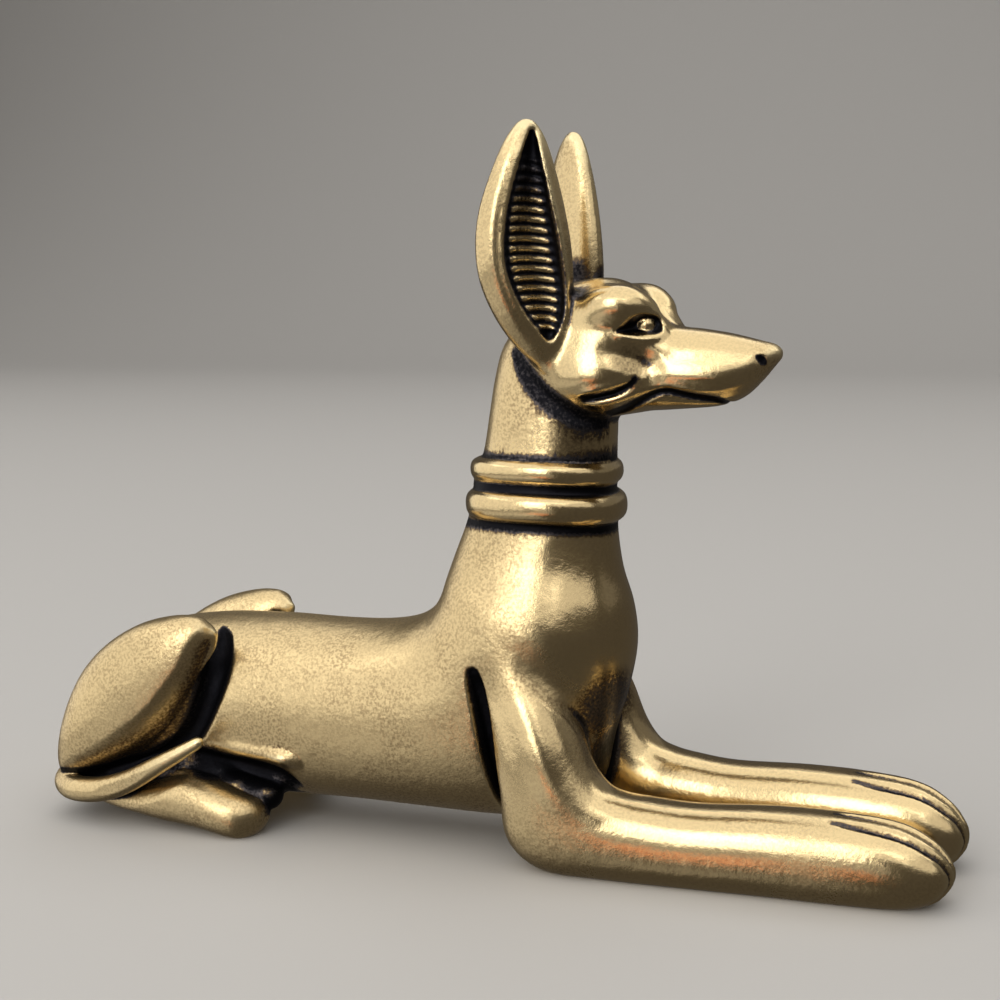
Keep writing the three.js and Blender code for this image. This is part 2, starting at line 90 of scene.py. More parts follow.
class Profile(Enum):
    """Cross-section of a line that is drawn on the surface."""

    ROUND = "round"
    VEE = "vee"
    FLAT = "flat"

    def fall(self, inside: np.ndarray) -> np.ndarray:
        """Share of a line's depth, which falls from 1 in its middle to 0 at its half width.

        It is (1 - u squared) squared where the line is round and 1 - u where it is a vee. A flat
        line stays at 1 for part of its half width.

        Args:
            inside: distance u from the line's middle, in half widths.

        Returns:
            The shares.
        """
        if self is Profile.ROUND:
            return (1 - inside ** 2) ** 2
        if self is Profile.VEE:
            return 1 - inside
        return 1 - ramp(inside, FLAT_SHARE, 1.0)


def power(values: np.ndarray, exponent: np.ndarray) -> np.ndarray:
    """Power of the size of each value, with the value's own sign kept."""
    return np.sign(values) * np.abs(values) ** exponent


def ramp(values: np.ndarray, low: float, high: float) -> np.ndarray:
    """Smooth step from 0 at low to 1 at high: 3t squared less 2t cubed."""
    t = np.clip((values - low) / (high - low), 0.0, 1.0)
    return t * t * (3.0 - 2.0 * t)


def between(values: np.ndarray, span: tuple) -> np.ndarray:
    """Share that rises over the first two values of a span and falls over the last two."""
    return ramp(values, *span[:2]) * (1 - ramp(values, *span[2:]))


def around(count: int) -> np.ndarray:
    """Angles of evenly spaced points round a circle."""
    return np.arange(count) / count * TURN


def smoothed(rows: list | tuple, steps: int) -> np.ndarray:
    """Rows with smooth steps between them, a Catmull-Rom curve through every column.

    Args:
        rows: rows of numbers of one length.
        steps: number of steps between two rows.

    Returns:
        The array of the denser rows, the given ones among them.
    """
    table = np.array(rows, dtype=float)
    last = len(table) - 1
    place = np.arange(last * steps + 1) / steps
    index = np.minimum(place.astype(int), last - 1)
    t = (place - index)[:, None]
    before, here, after, beyond = (table[np.clip(index + k, 0, last)] for k in (-1, 0, 1, 2))
    slope = (after - before) / 2
    following = (beyond - here) / 2
    rise = after - here
    bow = 3 * rise - 2 * slope - following
    twist = slope + following - 2 * rise
    return here + t * (slope + t * (bow + t * twist))


@dataclass(frozen=True)
class Skin:
    """Closed surface in hundredths: points, four-sided faces and triangles."""

    points: np.ndarray
    quads: np.ndarray
    triangles: np.ndarray


def lofted(rings: np.ndarray, wheel: bool = False) -> Skin:
    """Skin over rings of points.

    Args:
        rings: array of rings by points by 3.
        wheel: whether the last ring joins the first one; otherwise each end gets a fan.

    Returns:
        The closed skin.
    """
    count, sides = rings.shape[:2]
    points = rings.reshape(-1, 3)
    rows = count if wheel else count - 1
    i, j = np.meshgrid(np.arange(rows), np.arange(sides), indexing="ij")
    here, beside = i * sides, (i + 1) % count * sides
    following = (j + 1) % sides
    quads = np.stack([here + j, here + following, beside + following, beside + j], -1).reshape(-1, 4)
    if wheel:
        return Skin(points, quads, np.empty((0, 3), int))
    middles = rings[[0, -1]].mean(axis=1)
    ring = np.arange(sides)
    turn = (ring + 1) % sides
    last = (count - 1) * sides
    start = np.stack([np.full(sides, len(points)), turn, ring], -1)
    end = np.stack([np.full(sides, len(points) + 1), last + ring, last + turn], -1)
    return Skin(np.vstack([points, middles]), quads, np.vstack([start, end]))


def ovals(start: np.ndarray, end: np.ndarray, y: np.ndarray | float, half_width: np.ndarray,
          squareness: np.ndarray | float, lean: np.ndarray | float = 0.0, sides: int = 72) -> np.ndarray:
    """Ovals through two points of the XZ plane each, with a half width across Y.

    A point at angle a lies at cos(a) to the power 2 / squareness along the oval, and at sin(a) to
    that power across it; lean widens the end at the first point.

    Args:
        start: x and z of the first point of each oval.
        end: x and z of the second point of each oval.
        y: middle of each oval across Y.
        half_width: half width of each oval across Y.
        squareness: 2 for an ellipse, more for a boxier oval.
        lean: share by which the first end is wider.
        sides: number of points of an oval.

    Returns:
        Array of ovals by points by 3.
    """
    angle = around(sides)
    values = (y, half_width, squareness, lean)
    y, half_width, squareness, lean = (np.broadcast_to(v, len(start))[:, None] for v in values)
    along = power(np.cos(angle)[None], 2 / squareness)
    across = power(np.sin(angle)[None], 2 / squareness) * (1 - lean * along)
    middle, reach = (start + end) / 2, (end - start) / 2
    return np.stack([
        middle[:, 0:1] + reach[:, 0:1] * along,
        y + across * half_width,
        middle[:, 1:2] + reach[:, 1:2] * along,
    ], -1)


def rod(rows: list | tuple, steps: int = 8, sides: int = 32) -> Skin:
    """Round rod along rows of x, y, z, radius, with half-round ends.

    Args:
        rows: the rod's stations.
        steps: number of steps between two stations.
        sides: number of points of a ring.

    Returns:
        The rod's closed skin.
    """
    path = smoothed(rows, steps)
    count = len(path)
    ahead = np.gradient(path[:, :3], axis=0)
    ahead /= np.linalg.norm(ahead, axis=1, keepdims=True)
    quarter = np.linspace(END_START, 1.0, END_RINGS + 1)[:-1] * TURN / 4
    size = np.concatenate([np.sin(quarter), np.ones(count), np.sin(quarter)[::-1]])
    slide = np.concatenate([-np.cos(quarter), np.zeros(count), np.cos(quarter)[::-1]])
    pick = np.clip(np.arange(-END_RINGS, count + END_RINGS), 0, count - 1)
    path, ahead = path[pick], ahead[pick]
    side = np.cross(ahead, ROD_TOP)
    side /= np.linalg.norm(side, axis=1, keepdims=True)
    up = np.cross(side, ahead)
    angle = around(sides)
    slide, size = (slide * path[:, 3])[:, None], (size * path[:, 3])[:, None]
    rings = (
        (path[:, :3] + ahead * slide)[:, None]
        + (side * size)[:, None] * np.cos(angle)[None, :, None]
        + (up * size)[:, None] * np.sin(angle)[None, :, None]
    )
    return lofted(rings)


def on_side(side: Side, rows: tuple) -> list:
    """Rows of x, y, z and more with y turned to one side."""
    return [[row[0], side.value * row[1], *row[2:]] for row in rows]


def both_sides(rows: tuple) -> list:
    """Rows of x, y, z and more, once for each side of the figure."""
    return [row for side in Side for row in on_side(side, rows)]


def patches(points: np.ndarray, rows: tuple, full: float) -> np.ndarray:
    """Amount of the strongest of many round patches at points.

    Args:
        points: rows of x, y, z in hundredths.
        rows: a row of x, y, z, radius, amount for each patch.
        full: share of the radius up to which a patch has its full amount.

    Returns:
        The amounts, nothing outside every patch.
    """
    most = np.zeros(len(points))
    for x, y, z, radius, amount in rows:
        distance = np.linalg.norm(points - np.array([x, y, z]), axis=1) / radius
        most = np.maximum(most, amount * (1 - ramp(distance, full, 1.0)))
    return most


@dataclass(frozen=True)
class Line:
    """Groove or ridge drawn on the surface along rows of x, y, z, half width, depth.

    Depth is how far the surface sinks in the middle of the line, and less than nothing for a
    ridge. The line is seen along `view`: distances are taken square to that direction, and
    `reach` says how far to either side of the rows it still acts. Its darkening, soot in some
    lines and painted shade in others, spreads over `spread` half widths and is full over the
    share `core` of them.
    """

    rows: list | tuple
    view: tuple = (0.0, 1.0, 0.0)
    reach: float = 1.8
    profile: Profile = Profile.ROUND
    steps: int = 6
    soot_and_shade: float = 0.0
    spread: float = 1.0
    core: float = 0.45
    fade_from: float = 0.7

    def nearest(self, places: np.ndarray) -> tuple:
        """Distance of places from the line in half widths, and the line's depth there.

        From the share `fade_from` of the reach on, the distance grows by up to one half width, so
        that the line fades out.

        Args:
            places: rows of x, y, z in hundredths.

        Returns:
            The distances and the depths.
        """
        rows = smoothed(self.rows, self.steps)
        direction = np.array(self.view) / np.linalg.norm(self.view)
        level = places @ direction
        levels = rows[:, :3] @ direction
        flat = places - level[:, None] * direction
        stations = rows[:, :3] - levels[:, None] * direction
        best = np.full(len(places), OFF_LINE)
        depth = np.zeros(len(places))
        for k in range(len(rows) - 1):
            start, along = stations[k], stations[k + 1] - stations[k]
            share = np.clip((flat - start) @ along / max(along @ along, LEAST_LENGTH), 0, 1)
            width = rows[k, 3] + share * (rows[k + 1, 3] - rows[k, 3])
            distance = np.linalg.norm(flat - start - share[:, None] * along, axis=1) / width
            beside = np.abs(level - levels[k] - share * (levels[k + 1] - levels[k]))
            distance = distance + ramp(beside, self.fade_from * self.reach, self.reach)
            closer = (distance < best) & (beside < self.reach)
            best = np.where(closer, distance, best)
            depth = np.where(closer, rows[k, 4] + share * (rows[k + 1, 4] - rows[k, 4]), depth)
        return best, depth

    def box(self) -> tuple:
        """Lowest and highest corner within which the line acts.

        Returns:
            The two corners.
        """
        rows = smoothed(self.rows, self.steps)
        margin = rows[:, 3].max() * max(self.spread, 1.0) + np.abs(self.view) * self.reach
        return rows[:, :3].min(axis=0) - margin, rows[:, :3].max(axis=0) + margin


class Field:
    """Distances from the figure's surface on a grid of cells, below nothing inside it."""

    def __init__(self, low: np.ndarray, high: np.ndarray, cell: float) -> None:
        """Grid between two corners, in hundredths, filled as empty space.

        Args:
            low: lowest corner.
            high: highest corner.
            cell: step of the grid.
        """
        self.cell = cell
        self.low = np.asarray(low, float)
        self.shape = tuple(np.ceil((np.asarray(high) - self.low) / cell).astype(int) + 1)
        self.values = np.full(self.shape, BAND, np.float32)
        self.drawn = []
        self.bare = []

    def region(self, low: np.ndarray, high: np.ndarray) -> tuple:
        """Slices of the cells from corner low to corner high, kept inside the grid.

        Args:
            low: lowest corner.
            high: highest corner.

        Returns:
            A slice for each axis.
        """
        first = np.clip(np.floor((low - self.low) / self.cell).astype(int), 0, self.shape)
        last = np.clip(np.ceil((high - self.low) / self.cell).astype(int) + 1, 0, self.shape)
        return tuple(slice(a, b) for a, b in zip(first, last))

    def distances(self, skin: Skin, band: float) -> tuple:
        """Distance of the cells round a skin from it.

        Args:
            skin: closed skin.
            band: distance at which the values level off.

        Returns:
            The slices of those cells and their distances.
        """
        where = self.region(skin.points.min(axis=0) - band, skin.points.max(axis=0) + band)
        shape = tuple(part.stop - part.start for part in where)
        cells = band / self.cell
        values = np.full(shape, cells, np.float32)
        grid = vdb.FloatGrid.createLevelSetFromPolygons(
            ((skin.points - self.low) / self.cell).astype(np.float32),
            triangles=skin.triangles.astype(np.uint32),
            quads=skin.quads.astype(np.uint32),
            transform=vdb.createLinearTransform(1.0),
            halfWidth=float(cells),
        )
        grid.copyToArray(values, ijk=tuple(part.start for part in where))
        return where, values * self.cell

    def add(self, skin: Skin, blend: float) -> None:
        """Union with a skin: the lesser distance, less a quarter of the blend where both are equal.

        Args:
            skin: closed skin.
            blend: width over which the two surfaces run into each other.
        """
        where, other = self.distances(skin, max(BAND, blend))
        here = self.values[where]
        near = np.maximum(blend - np.abs(here - other), 0) / blend
        self.values[where] = np.minimum(here, other) - near * near * (blend / 4)

    def cut(self, skin: Skin, blend: float) -> None:
        """Takes a skin's inside away: the greater of the distance and the skin's own turned round.

        Args:
            skin: closed skin.
            blend: width over which the two surfaces run into each other.
        """
        where, other = self.distances(skin, BAND)
        here = self.values[where]
        near = np.maximum(blend - np.abs(here + other), 0) / blend
        self.values[where] = np.maximum(here, -other) + near * near * (blend / 4)

    def places(self, where: tuple, near: np.ndarray) -> np.ndarray:
        """Places of the cells that near marks inside the slices, as rows of x, y, z."""
        starts = np.array([part.start for part in where])
        return (np.argwhere(near) + starts) * self.cell + self.low

    def draw(self, line: Line) -> None:
        """Sinks or raises the surface along a line, by its depth times the fall of its profile.

        Args:
            line: the line to draw.
        """
        where = self.region(*line.box())
        deepest = max(abs(row[4]) for row in line.rows)
        near = np.abs(self.values[where]) < max(DRAW_LEAST, deepest + DRAW_MORE)
        best, depth = line.nearest(self.places(where, near))
        part = self.values[where]
        part[near] += (depth * line.profile.fall(np.clip(best, 0, 1))).astype(np.float32)
        self.drawn.append(line)

    def side_at(self, x: float, z: float, side: Side) -> float:
        """Y of the outermost surface on one side at x, z.

        Args:
            x: place along X, in hundredths.
            z: height, in hundredths.
            side: side of the figure.

        Returns:
            The Y, or nothing where the figure isn't met.
        """
        i, k = (int(round((v - self.low[axis]) / self.cell)) for v, axis in ((x, 0), (z, 2)))
        line = self.values[i, :, k][:: side.value * -1]
        if line.min() >= 0:
            return 0.0
        first = int(np.argmax(line < 0))
        share = line[first - 1] / (line[first - 1] - line[first])
        place = first - 1 + share
        if side is Side.LEFT:
            place = self.shape[1] - 1 - place
        return place * self.cell + self.low[1]

    def sample(self, values: np.ndarray, points: np.ndarray) -> np.ndarray:
        """Values of a grid at points, straight between the eight cells round each.

        Args:
            values: values of a grid of this shape.
            points: rows of x, y, z in hundredths.

        Returns:
            A value for each point.
        """
        place = (points - self.low) / self.cell
        base = np.clip(np.floor(place).astype(int), 0, np.array(self.shape) - 2)
        share = np.clip(place - base, 0, 1)
        total = np.zeros(len(points))
        for corner in np.ndindex(2, 2, 2):
            weight = np.prod(np.where(corner, share, 1 - share), axis=1)
            total += weight * values[tuple((base + corner).T)]
        return total

    def slope(self, points: np.ndarray) -> np.ndarray:
        """Slope of the distance at points, from steps of one cell to both sides.

        Args:
            points: rows of x, y, z in hundredths.

        Returns:
            The slope's x, y, z for each point.
        """
        steps = np.eye(3) * self.cell
        return np.stack(
            [self.sample(self.values, points + s) - self.sample(self.values, points - s) for s in steps],
            -1,
        ) / (2 * self.cell)

    def soften(self, share: float) -> None:
        """Moves each cell towards the mean of its neighbours along the three axes.

        Args:
            share: share of the way that it moves.
        """
        for axis in range(3):
            values = np.moveaxis(self.values, axis, 0)
            mean = (values[:-2] + values[2:]) / 2
            values[1:-1] += share * (mean - values[1:-1])

    def surface(self) -> Skin:
        """Skin through the cells where the distance is nothing.

        Returns:
            The skin, in hundredths.
        """
        grid = vdb.FloatGrid(1.0)
        grid.copyFromArray(np.clip(self.values, -1.0, 1.0))
        points, triangles, quads = grid.convertToPolygons(0.0, 0.0)
        return Skin(points * self.cell + self.low, quads, triangles)


def box_mean(values: np.ndarray, radius: int) -> np.ndarray:
    """Mean over a cube of cells round each cell, by running sums along each axis.

    Args:
        values: values of a grid.
        radius: cells of the cube to each side of its middle.

    Returns:
        The means, in the grid's shape.
    """
    for axis in range(3):
        moved = np.moveaxis(values, axis, 0)
        sums = np.cumsum(moved, axis=0, dtype=np.float32)
        count = len(moved)
        high = np.minimum(np.arange(count) + radius, count - 1)
        low = np.arange(count) - radius - 1
        under = np.where((low >= 0)[:, None, None], sums[np.maximum(low, 0)], 0)
        values = np.moveaxis((sums[high] - under) / (2 * radius + 1), 0, axis)
    return values


@dataclass(frozen=True)
class Trunk:
    """Rump, trunk, chest and neck.

    Row: back x, z, belly x, z, half width, squareness, lean. Shoulder row: x, z, half width, depth.
    """

    rows: tuple = (
        (-48.8, 9, -48.8, 4.2, 4.4, 2.2, 0),
        (-48, 13, -48, 3.2, 7.6, 2.3, 0),
        (-45.4, 17.6, -45.4, 2.8, 9.0, 2.3, 0),
        (-40, 21, -40, 2.6, 9.2, 2.3, 0.05),
        (-33, 22.4, -33, 2.6, 8.9, 2.2, 0.03),
        (-25, 22.8, -24, 2.8, 8.7, 2.2, 0),
        (-18, 22.7, -14, 3.0, 8.9, 2.2, 0),
        (-13.2, 22.8, -5, 3.0, 9.3, 2.2, 0),
        (-9.8, 23.2, 3, 3.0, 9.6, 2.2, 0.05),
        (-7.4, 23.9, 9.2, 3.6, 9.6, 2.2, 0.12),
        (-5.8, 24.8, 12.8, 6.8, 9.5, 2.1, 0.2),
        (-4.6, 25.9, 14.3, 12.4, 9.5, 2.1, 0.2),
        (-3.9, 27.2, 15.8, 17.4, 9.6, 2.1, 0.12),
        (-3.5, 28.6, 16.6, 21.8, 9.4, 2.1, 0.05),
        (-3.0, 30.2, 16.3, 25.8, 8.4, 2.1, 0),
        (-2.2, 32.2, 15.2, 29.6, 7.2, 2.2, 0),
        (-1.4, 34.2, 14.7, 33.2, 6.6, 2.2, 0),
        (-0.7, 36.4, 14.6, 36.4, 6.3, 2.2, 0),
        (0.1, 39.8, 14.6, 39.8, 6.1, 2.2, 0),
        (0.9, 42.6, 14.7, 42.8, 5.8, 2.2, 0),
        (1.5, 46, 14.8, 46.4, 5.6, 2.2, 0),
        (2.1, 49.6, 14.4, 49.6, 5.3, 2.1, 0),
        (3.0, 52.8, 13.2, 52.8, 4.6, 2, 0),
        (4.8, 55.2, 11.6, 55.2, 3.2, 2, 0),
    )
    shoulder: tuple = (
        (2.5, 20.2, 0.75, 0.5), (2.8, 18.6, 0.95, 1.3), (3.35, 15.6, 0.95, 1.6),
        (3.95, 11.6, 0.95, 1.6), (4.5, 8.2, 0.95, 1.5), (4.95, 5.2, 0.95, 1.4), (5.2, 3.2, 0.9, 0.9),
    )
    flank_behind: float = 1.2
    steps: int = 6
    sides: int = 96
    blend: float = 0.1

    def build(self, casting: Field) -> None:
        """Lofts the ovals from belly to back and adds them.

        Args:
            casting: the field of distances.
        """
        rows = smoothed(self.rows, self.steps)
        belly, back = rows[:, 2:4], rows[:, 0:2]
        rings = ovals(belly, back, 0.0, rows[:, 4], rows[:, 5], -rows[:, 6], self.sides)
        casting.add(lofted(rings), self.blend)

    def carve(self, casting: Field) -> None:
        """Cuts the groove behind each shoulder, as far out as the flank just behind it.

        Args:
            casting: the field of distances.
        """
        back = self.flank_behind
        for side in Side:
            rows = [(x, casting.side_at(x - back, z, side), z, w, d) for x, z, w, d in self.shoulder]
            casting.draw(Line(rows, reach=3.0, profile=Profile.FLAT, soot_and_shade=1.0, spread=1.3, core=0.3))


@dataclass(frozen=True)
class Foreleg:
    """Shoulder, elbow, forearm and paw.

    Row: back or under x, z, front or upper x, z, y, half width, squareness. Toe row: x, y, z and
    how far apart the grooves are. The left elbow lies a little further forward and is fuller.
    """

    side: Side
    rows: tuple = (
        (3.6, 22.6, 7.2, 23.6, 3.8, 2.4, 2),
        (3.4, 20.2, 9.4, 21.8, 5.6, 3.4, 2),
        (3.6, 16.4, 11.6, 18.6, 6.6, 3.9, 2.1),
        (4.4, 11.6, 13.4, 14.9, 7.2, 4.2, 2.2),
        (5.2, 7.0, 14.8, 11.4, 7.4, 4.3, 2.3),
        (6.2, 2.6, 16.4, 9.3, 7.4, 4.3, 2.4),
        (9.6, 0, 18.2, 8.6, 7.3, 4.2, 2.4),
        (16, -0.5, 20.4, 8.3, 7.0, 4.1, 2.4),
        (24, -0.6, 25.2, 8.0, 6.6, 4.0, 2.4),
        (33, -0.6, 33.2, 8.4, 6.0, 4.2, 2.4),
        (40.6, -0.6, 40.6, 8.3, 5.7, 4.3, 2.4),
        (45.2, -0.4, 45.2, 7.7, 5.5, 4.1, 2.3),
        (48.2, 0.5, 48.1, 6.2, 5.45, 3.3, 2.1),
        (49.6, 1.9, 49.5, 4.7, 5.4, 2.0, 2),
        (50, 2.7, 50, 3.7, 5.4, 0.9, 2),
    )
    toe_lines: tuple = (
        (38.6, 5.7, 8.5, 1.9), (41.5, 5.6, 8.2, 2.1), (44.5, 5.55, 7.6, 2.05),
        (47.2, 5.5, 6.4, 1.8), (49.3, 5.45, 4.5, 1.3), (50.6, 5.4, 2.0, 1.1),
    )
    crease: tuple = (
        (7.4, 9.0, 20.8, 0.5, 0.05), (10.4, 8.0, 18.0, 0.6, 0.2), (12.4, 6.4, 15.6, 0.7, 0.15),
        (13.6, 6.0, 13.0, 0.7, 0.1), (14.9, 7.2, 10.4, 0.6, 0.05),
    )
    ridge: tuple = (
        (4.7, 9.2, 22.2, 2.0, -0.1), (6.4, 9.6, 20.2, 2.7, -0.35), (9.3, 10.7, 15.9, 3.0, -0.5),
        (10.8, 11.3, 12.1, 3.0, -0.5), (12.7, 11.4, 8.9, 2.6, -0.35), (15.0, 11.1, 7.6, 2.0, -0.15),
    )
    toe_width: float = 0.45
    toe_depth: float = 0.85
    toe_start: tuple = (0.1, 0.55)
    steps: int = 6
    blend: float = 1.0
    right_elbow: tuple = (-0.6, 0.98)
    left_elbow: tuple = (0.8, 1.07)

    def build(self, casting: Field) -> None:
        """Lofts the ovals from the under edge to the upper edge and adds them.

        Args:
            casting: the field of distances.
        """
        forward, fullness = self.right_elbow if self.side is Side.RIGHT else self.left_elbow
        rows = smoothed(self.rows, self.steps)
        reach = self.rows[-1][0]
        start = np.stack([rows[:, 0] + forward * (1 - rows[:, 0] / reach), rows[:, 1]], -1)
        end = np.stack([rows[:, 2] + forward * (1 - rows[:, 2] / reach), rows[:, 3] * fullness], -1)
        y = rows[:, 4] * self.side.value
        casting.add(lofted(ovals(start, end, y, rows[:, 5], rows[:, 6])), self.blend)

    def carve(self, casting: Field) -> None:
        """Parts the arm from the chest with a crease and the four toes with three grooves.

        Args:
            casting: the field of distances.
        """
        # The crease's little soot is painted shade between arm and chest.
        casting.draw(Line(on_side(self.side, self.crease), reach=2.2, soot_and_shade=0.15))
        casting.draw(Line(on_side(self.side, self.ridge), reach=3.5))
        first, step = self.toe_start
        for lane in (-1, 0, 1):
            rows = [
                (x, y + lane * apart, z, self.toe_width, self.toe_depth * min(1.0, first + step * k))
                for k, (x, y, z, apart) in enumerate(self.toe_lines)
            ]
            rows = on_side(self.side, rows)
            casting.draw(Line(rows, (0, 0, 1), reach=6.0, profile=Profile.VEE, soot_and_shade=0.5, spread=0.9))


@dataclass(frozen=True)
class Hindquarter:
    """Haunch leaf, thigh and hind foot of one side.

    Haunch row: upper edge x, z, lower edge x, z, inner y, outer y. Foot row: x, under z, upper z,
    y, half width.
    """

    side: Side
    haunch: tuple = (
        (-48.8, 4.6, -47.6, 4.2, 6, 9.6),
        (-48.8, 7.4, -45.0, 4.5, 5, 11.2),
        (-48.1, 10.6, -41.4, 5.6, 4.4, 12.2),
        (-46.6, 14.3, -37.4, 7.1, 4.2, 12.7),
        (-44.4, 17.7, -34.2, 9.2, 4.4, 12.8),
        (-41.2, 20.6, -31.8, 12.0, 4.8, 12.7),
        (-37.2, 22.8, -30.0, 15.4, 5.6, 12.3),
        (-33.2, 23.9, -28.7, 18.7, 6.6, 11.6),
        (-30.4, 24.0, -27.9, 21.2, 7.6, 10.6),
        (-28.9, 23.3, -27.7, 22.2, 8.4, 9.6),
    )
    left_height: float = 0.978
    squareness: float = 2.3
    foot_steps: int = 8
    haunch_steps: int = 10
    thigh_blend: float = 0.8
    foot_blend: float = 0.3
    haunch_blend: float = 0.12
    thigh: tuple = (
        (-44.5, 6.4, 5.6, 2.8), (-37, 6.2, 5.8, 3.3), (-30, 5.2, 4.8, 2.8), (-25, 4.6, 3.6, 2.0),
    )
    inner_toe: tuple = ((-31, 6.4, 4.6, 1.4), (-26.6, 6.6, 4.8, 1.8), (-23.6, 6.2, 4.1, 1.9))
    foot: tuple = (
        (-46, 2.4, 4.4, 8.0, 1.6),
        (-43, 1.8, 5.0, 8.4, 2.4),
        (-38, 1.2, 5.8, 8.7, 2.9),
        (-34.5, 0.8, 6.4, 8.9, 3.1),
        (-32, 0.6, 6.5, 8.9, 3.1),
        (-29.4, 0.3, 5.9, 8.9, 3.2),
        (-26.6, -0.2, 5.0, 8.8, 3.2),
        (-24.9, -0.3, 4.5, 8.7, 2.9),
        (-23.6, 0.4, 3.9, 8.5, 2.1),
        (-22.9, 1.4, 3.1, 8.4, 1.1),
    )
    edge: tuple = (
        (-29.8, 5.0, 21.5, 0.5, 0.2), (-29.4, 5.5, 20.9, 1.1, 0.8), (-29.0, 6.2, 20.0, 1.7, 1.4),
        (-28.7, 7.4, 18.3, 2.1, 1.6), (-29.3, 8.4, 15.4, 2.0, 1.6), (-31.3, 8.6, 11.4, 1.8, 1.5),
        (-34.2, 8.8, 8.6, 1.5, 1.2), (-38.2, 9.0, 7.0, 1.1, 0.9), (-42.4, 9.4, 5.7, 0.8, 0.5),
    )
    bevel: tuple = (
        (-27.6, 12, 22.6, 1.2, 0.4), (-27.9, 12, 20.6, 2.3, 1.1), (-28.9, 12, 17.6, 2.7, 1.5),
        (-30.5, 12, 14.2, 3.4, 1.8), (-32.7, 12, 11.0, 4.0, 1.9), (-35.8, 12, 8.2, 4.4, 1.8),
        (-40.0, 12, 6.0, 4.0, 1.5), (-45.0, 12, 4.6, 2.8, 0.9),
    )
    flank_fold: tuple = (
        (-29.4, 8.4, 9.9, 0.8, -0.1), (-26.4, 8.4, 9.3, 1.2, -0.35), (-23.4, 8.5, 9.0, 1.25, -0.5),
        (-20.6, 8.6, 8.8, 1.4, -1.0), (-19.0, 8.5, 8.5, 0.9, -0.5),
    )
    recess: tuple = (
        (-31.0, 8.0, 8.4, 0.9, 0.6), (-28.0, 8.1, 7.4, 1.4, 1.4), (-25.0, 8.2, 6.7, 1.9, 1.9),
        (-22.3, 8.3, 6.2, 1.8, 1.9), (-21.0, 8.0, 5.2, 1.6, 1.4), (-21.4, 7.4, 4.0, 1.3, 0.7),
        (-21.9, 6.6, 3.0, 1.0, 0.2),
    )

    def build(self, casting: Field) -> None:
        """Adds the thigh, the foot and the leaf-shaped haunch.

        Args:
            casting: the field of distances.
        """
        sign = self.side.value
        casting.add(rod(on_side(self.side, self.thigh)), self.thigh_blend)
        casting.add(rod(on_side(self.side, self.inner_toe)), self.foot_blend)
        rows = smoothed(self.foot, self.foot_steps)
        under, upper = rows[:, [0, 1]], rows[:, [0, 2]]
        rings = ovals(under, upper, sign * rows[:, 3], rows[:, 4], self.squareness)
        casting.add(lofted(rings), self.foot_blend)
        rows = smoothed(self.haunch, self.haunch_steps)
        if self.side is Side.LEFT:
            rows[:, [1, 3]] *= self.left_height
        middle, reach = (rows[:, 4] + rows[:, 5]) / 2, (rows[:, 5] - rows[:, 4]) / 2
        rings = ovals(rows[:, 2:4], rows[:, 0:2], sign * middle, reach, self.squareness)
        casting.add(lofted(rings), self.haunch_blend)

    def carve(self, casting: Field) -> None:
        """Raises the fold of the flank over the foot and cuts what lies round the haunch.

        Args:
            casting: the field of distances.
        """
        fold, recess, bevel, edge = (
            on_side(self.side, rows) for rows in (self.flank_fold, self.recess, self.bevel, self.edge)
        )
        casting.draw(Line(fold, reach=1.5))
        # The soot of the recess, bevel and edge is painted shade over the foot and round the leaf.
        casting.draw(Line(recess, reach=3.0, soot_and_shade=1.0, spread=1.25, core=0.3))
        casting.draw(Line(bevel, reach=3.4, profile=Profile.VEE, soot_and_shade=0.3, spread=0.9))
        casting.draw(Line(edge, reach=1.6, soot_and_shade=1.0, spread=1.25, core=0.2))


@dataclass(frozen=True)
class Tail:
    """Thin tail along the right haunch. Row: x, y, z, radius."""

    rows: tuple = (
        (-47.0, 2, 4.6, 1.5),
        (-48.7, -3.4, 4.2, 1.5),
        (-48.7, -8, 3.9, 1.5),
        (-46.2, -10.6, 3.7, 1.45),
        (-42, -11.6, 4.2, 1.4),
        (-38, -11.9, 5.6, 1.25),
        (-33.5, -11.9, 8.1, 1.0),
        (-29.2, -11.4, 10.6, 0.7),
    )
    steps: int = 10
    blend: float = 0.12
    darkening_left: float = 0.1

    def build(self, casting: Field) -> None:
        """Adds the rod of the tail, which stays nearly free of soot and painted shade."""
        casting.add(rod(self.rows, self.steps), self.blend)
        casting.bare.append((smoothed(self.rows, self.steps), self.darkening_left))


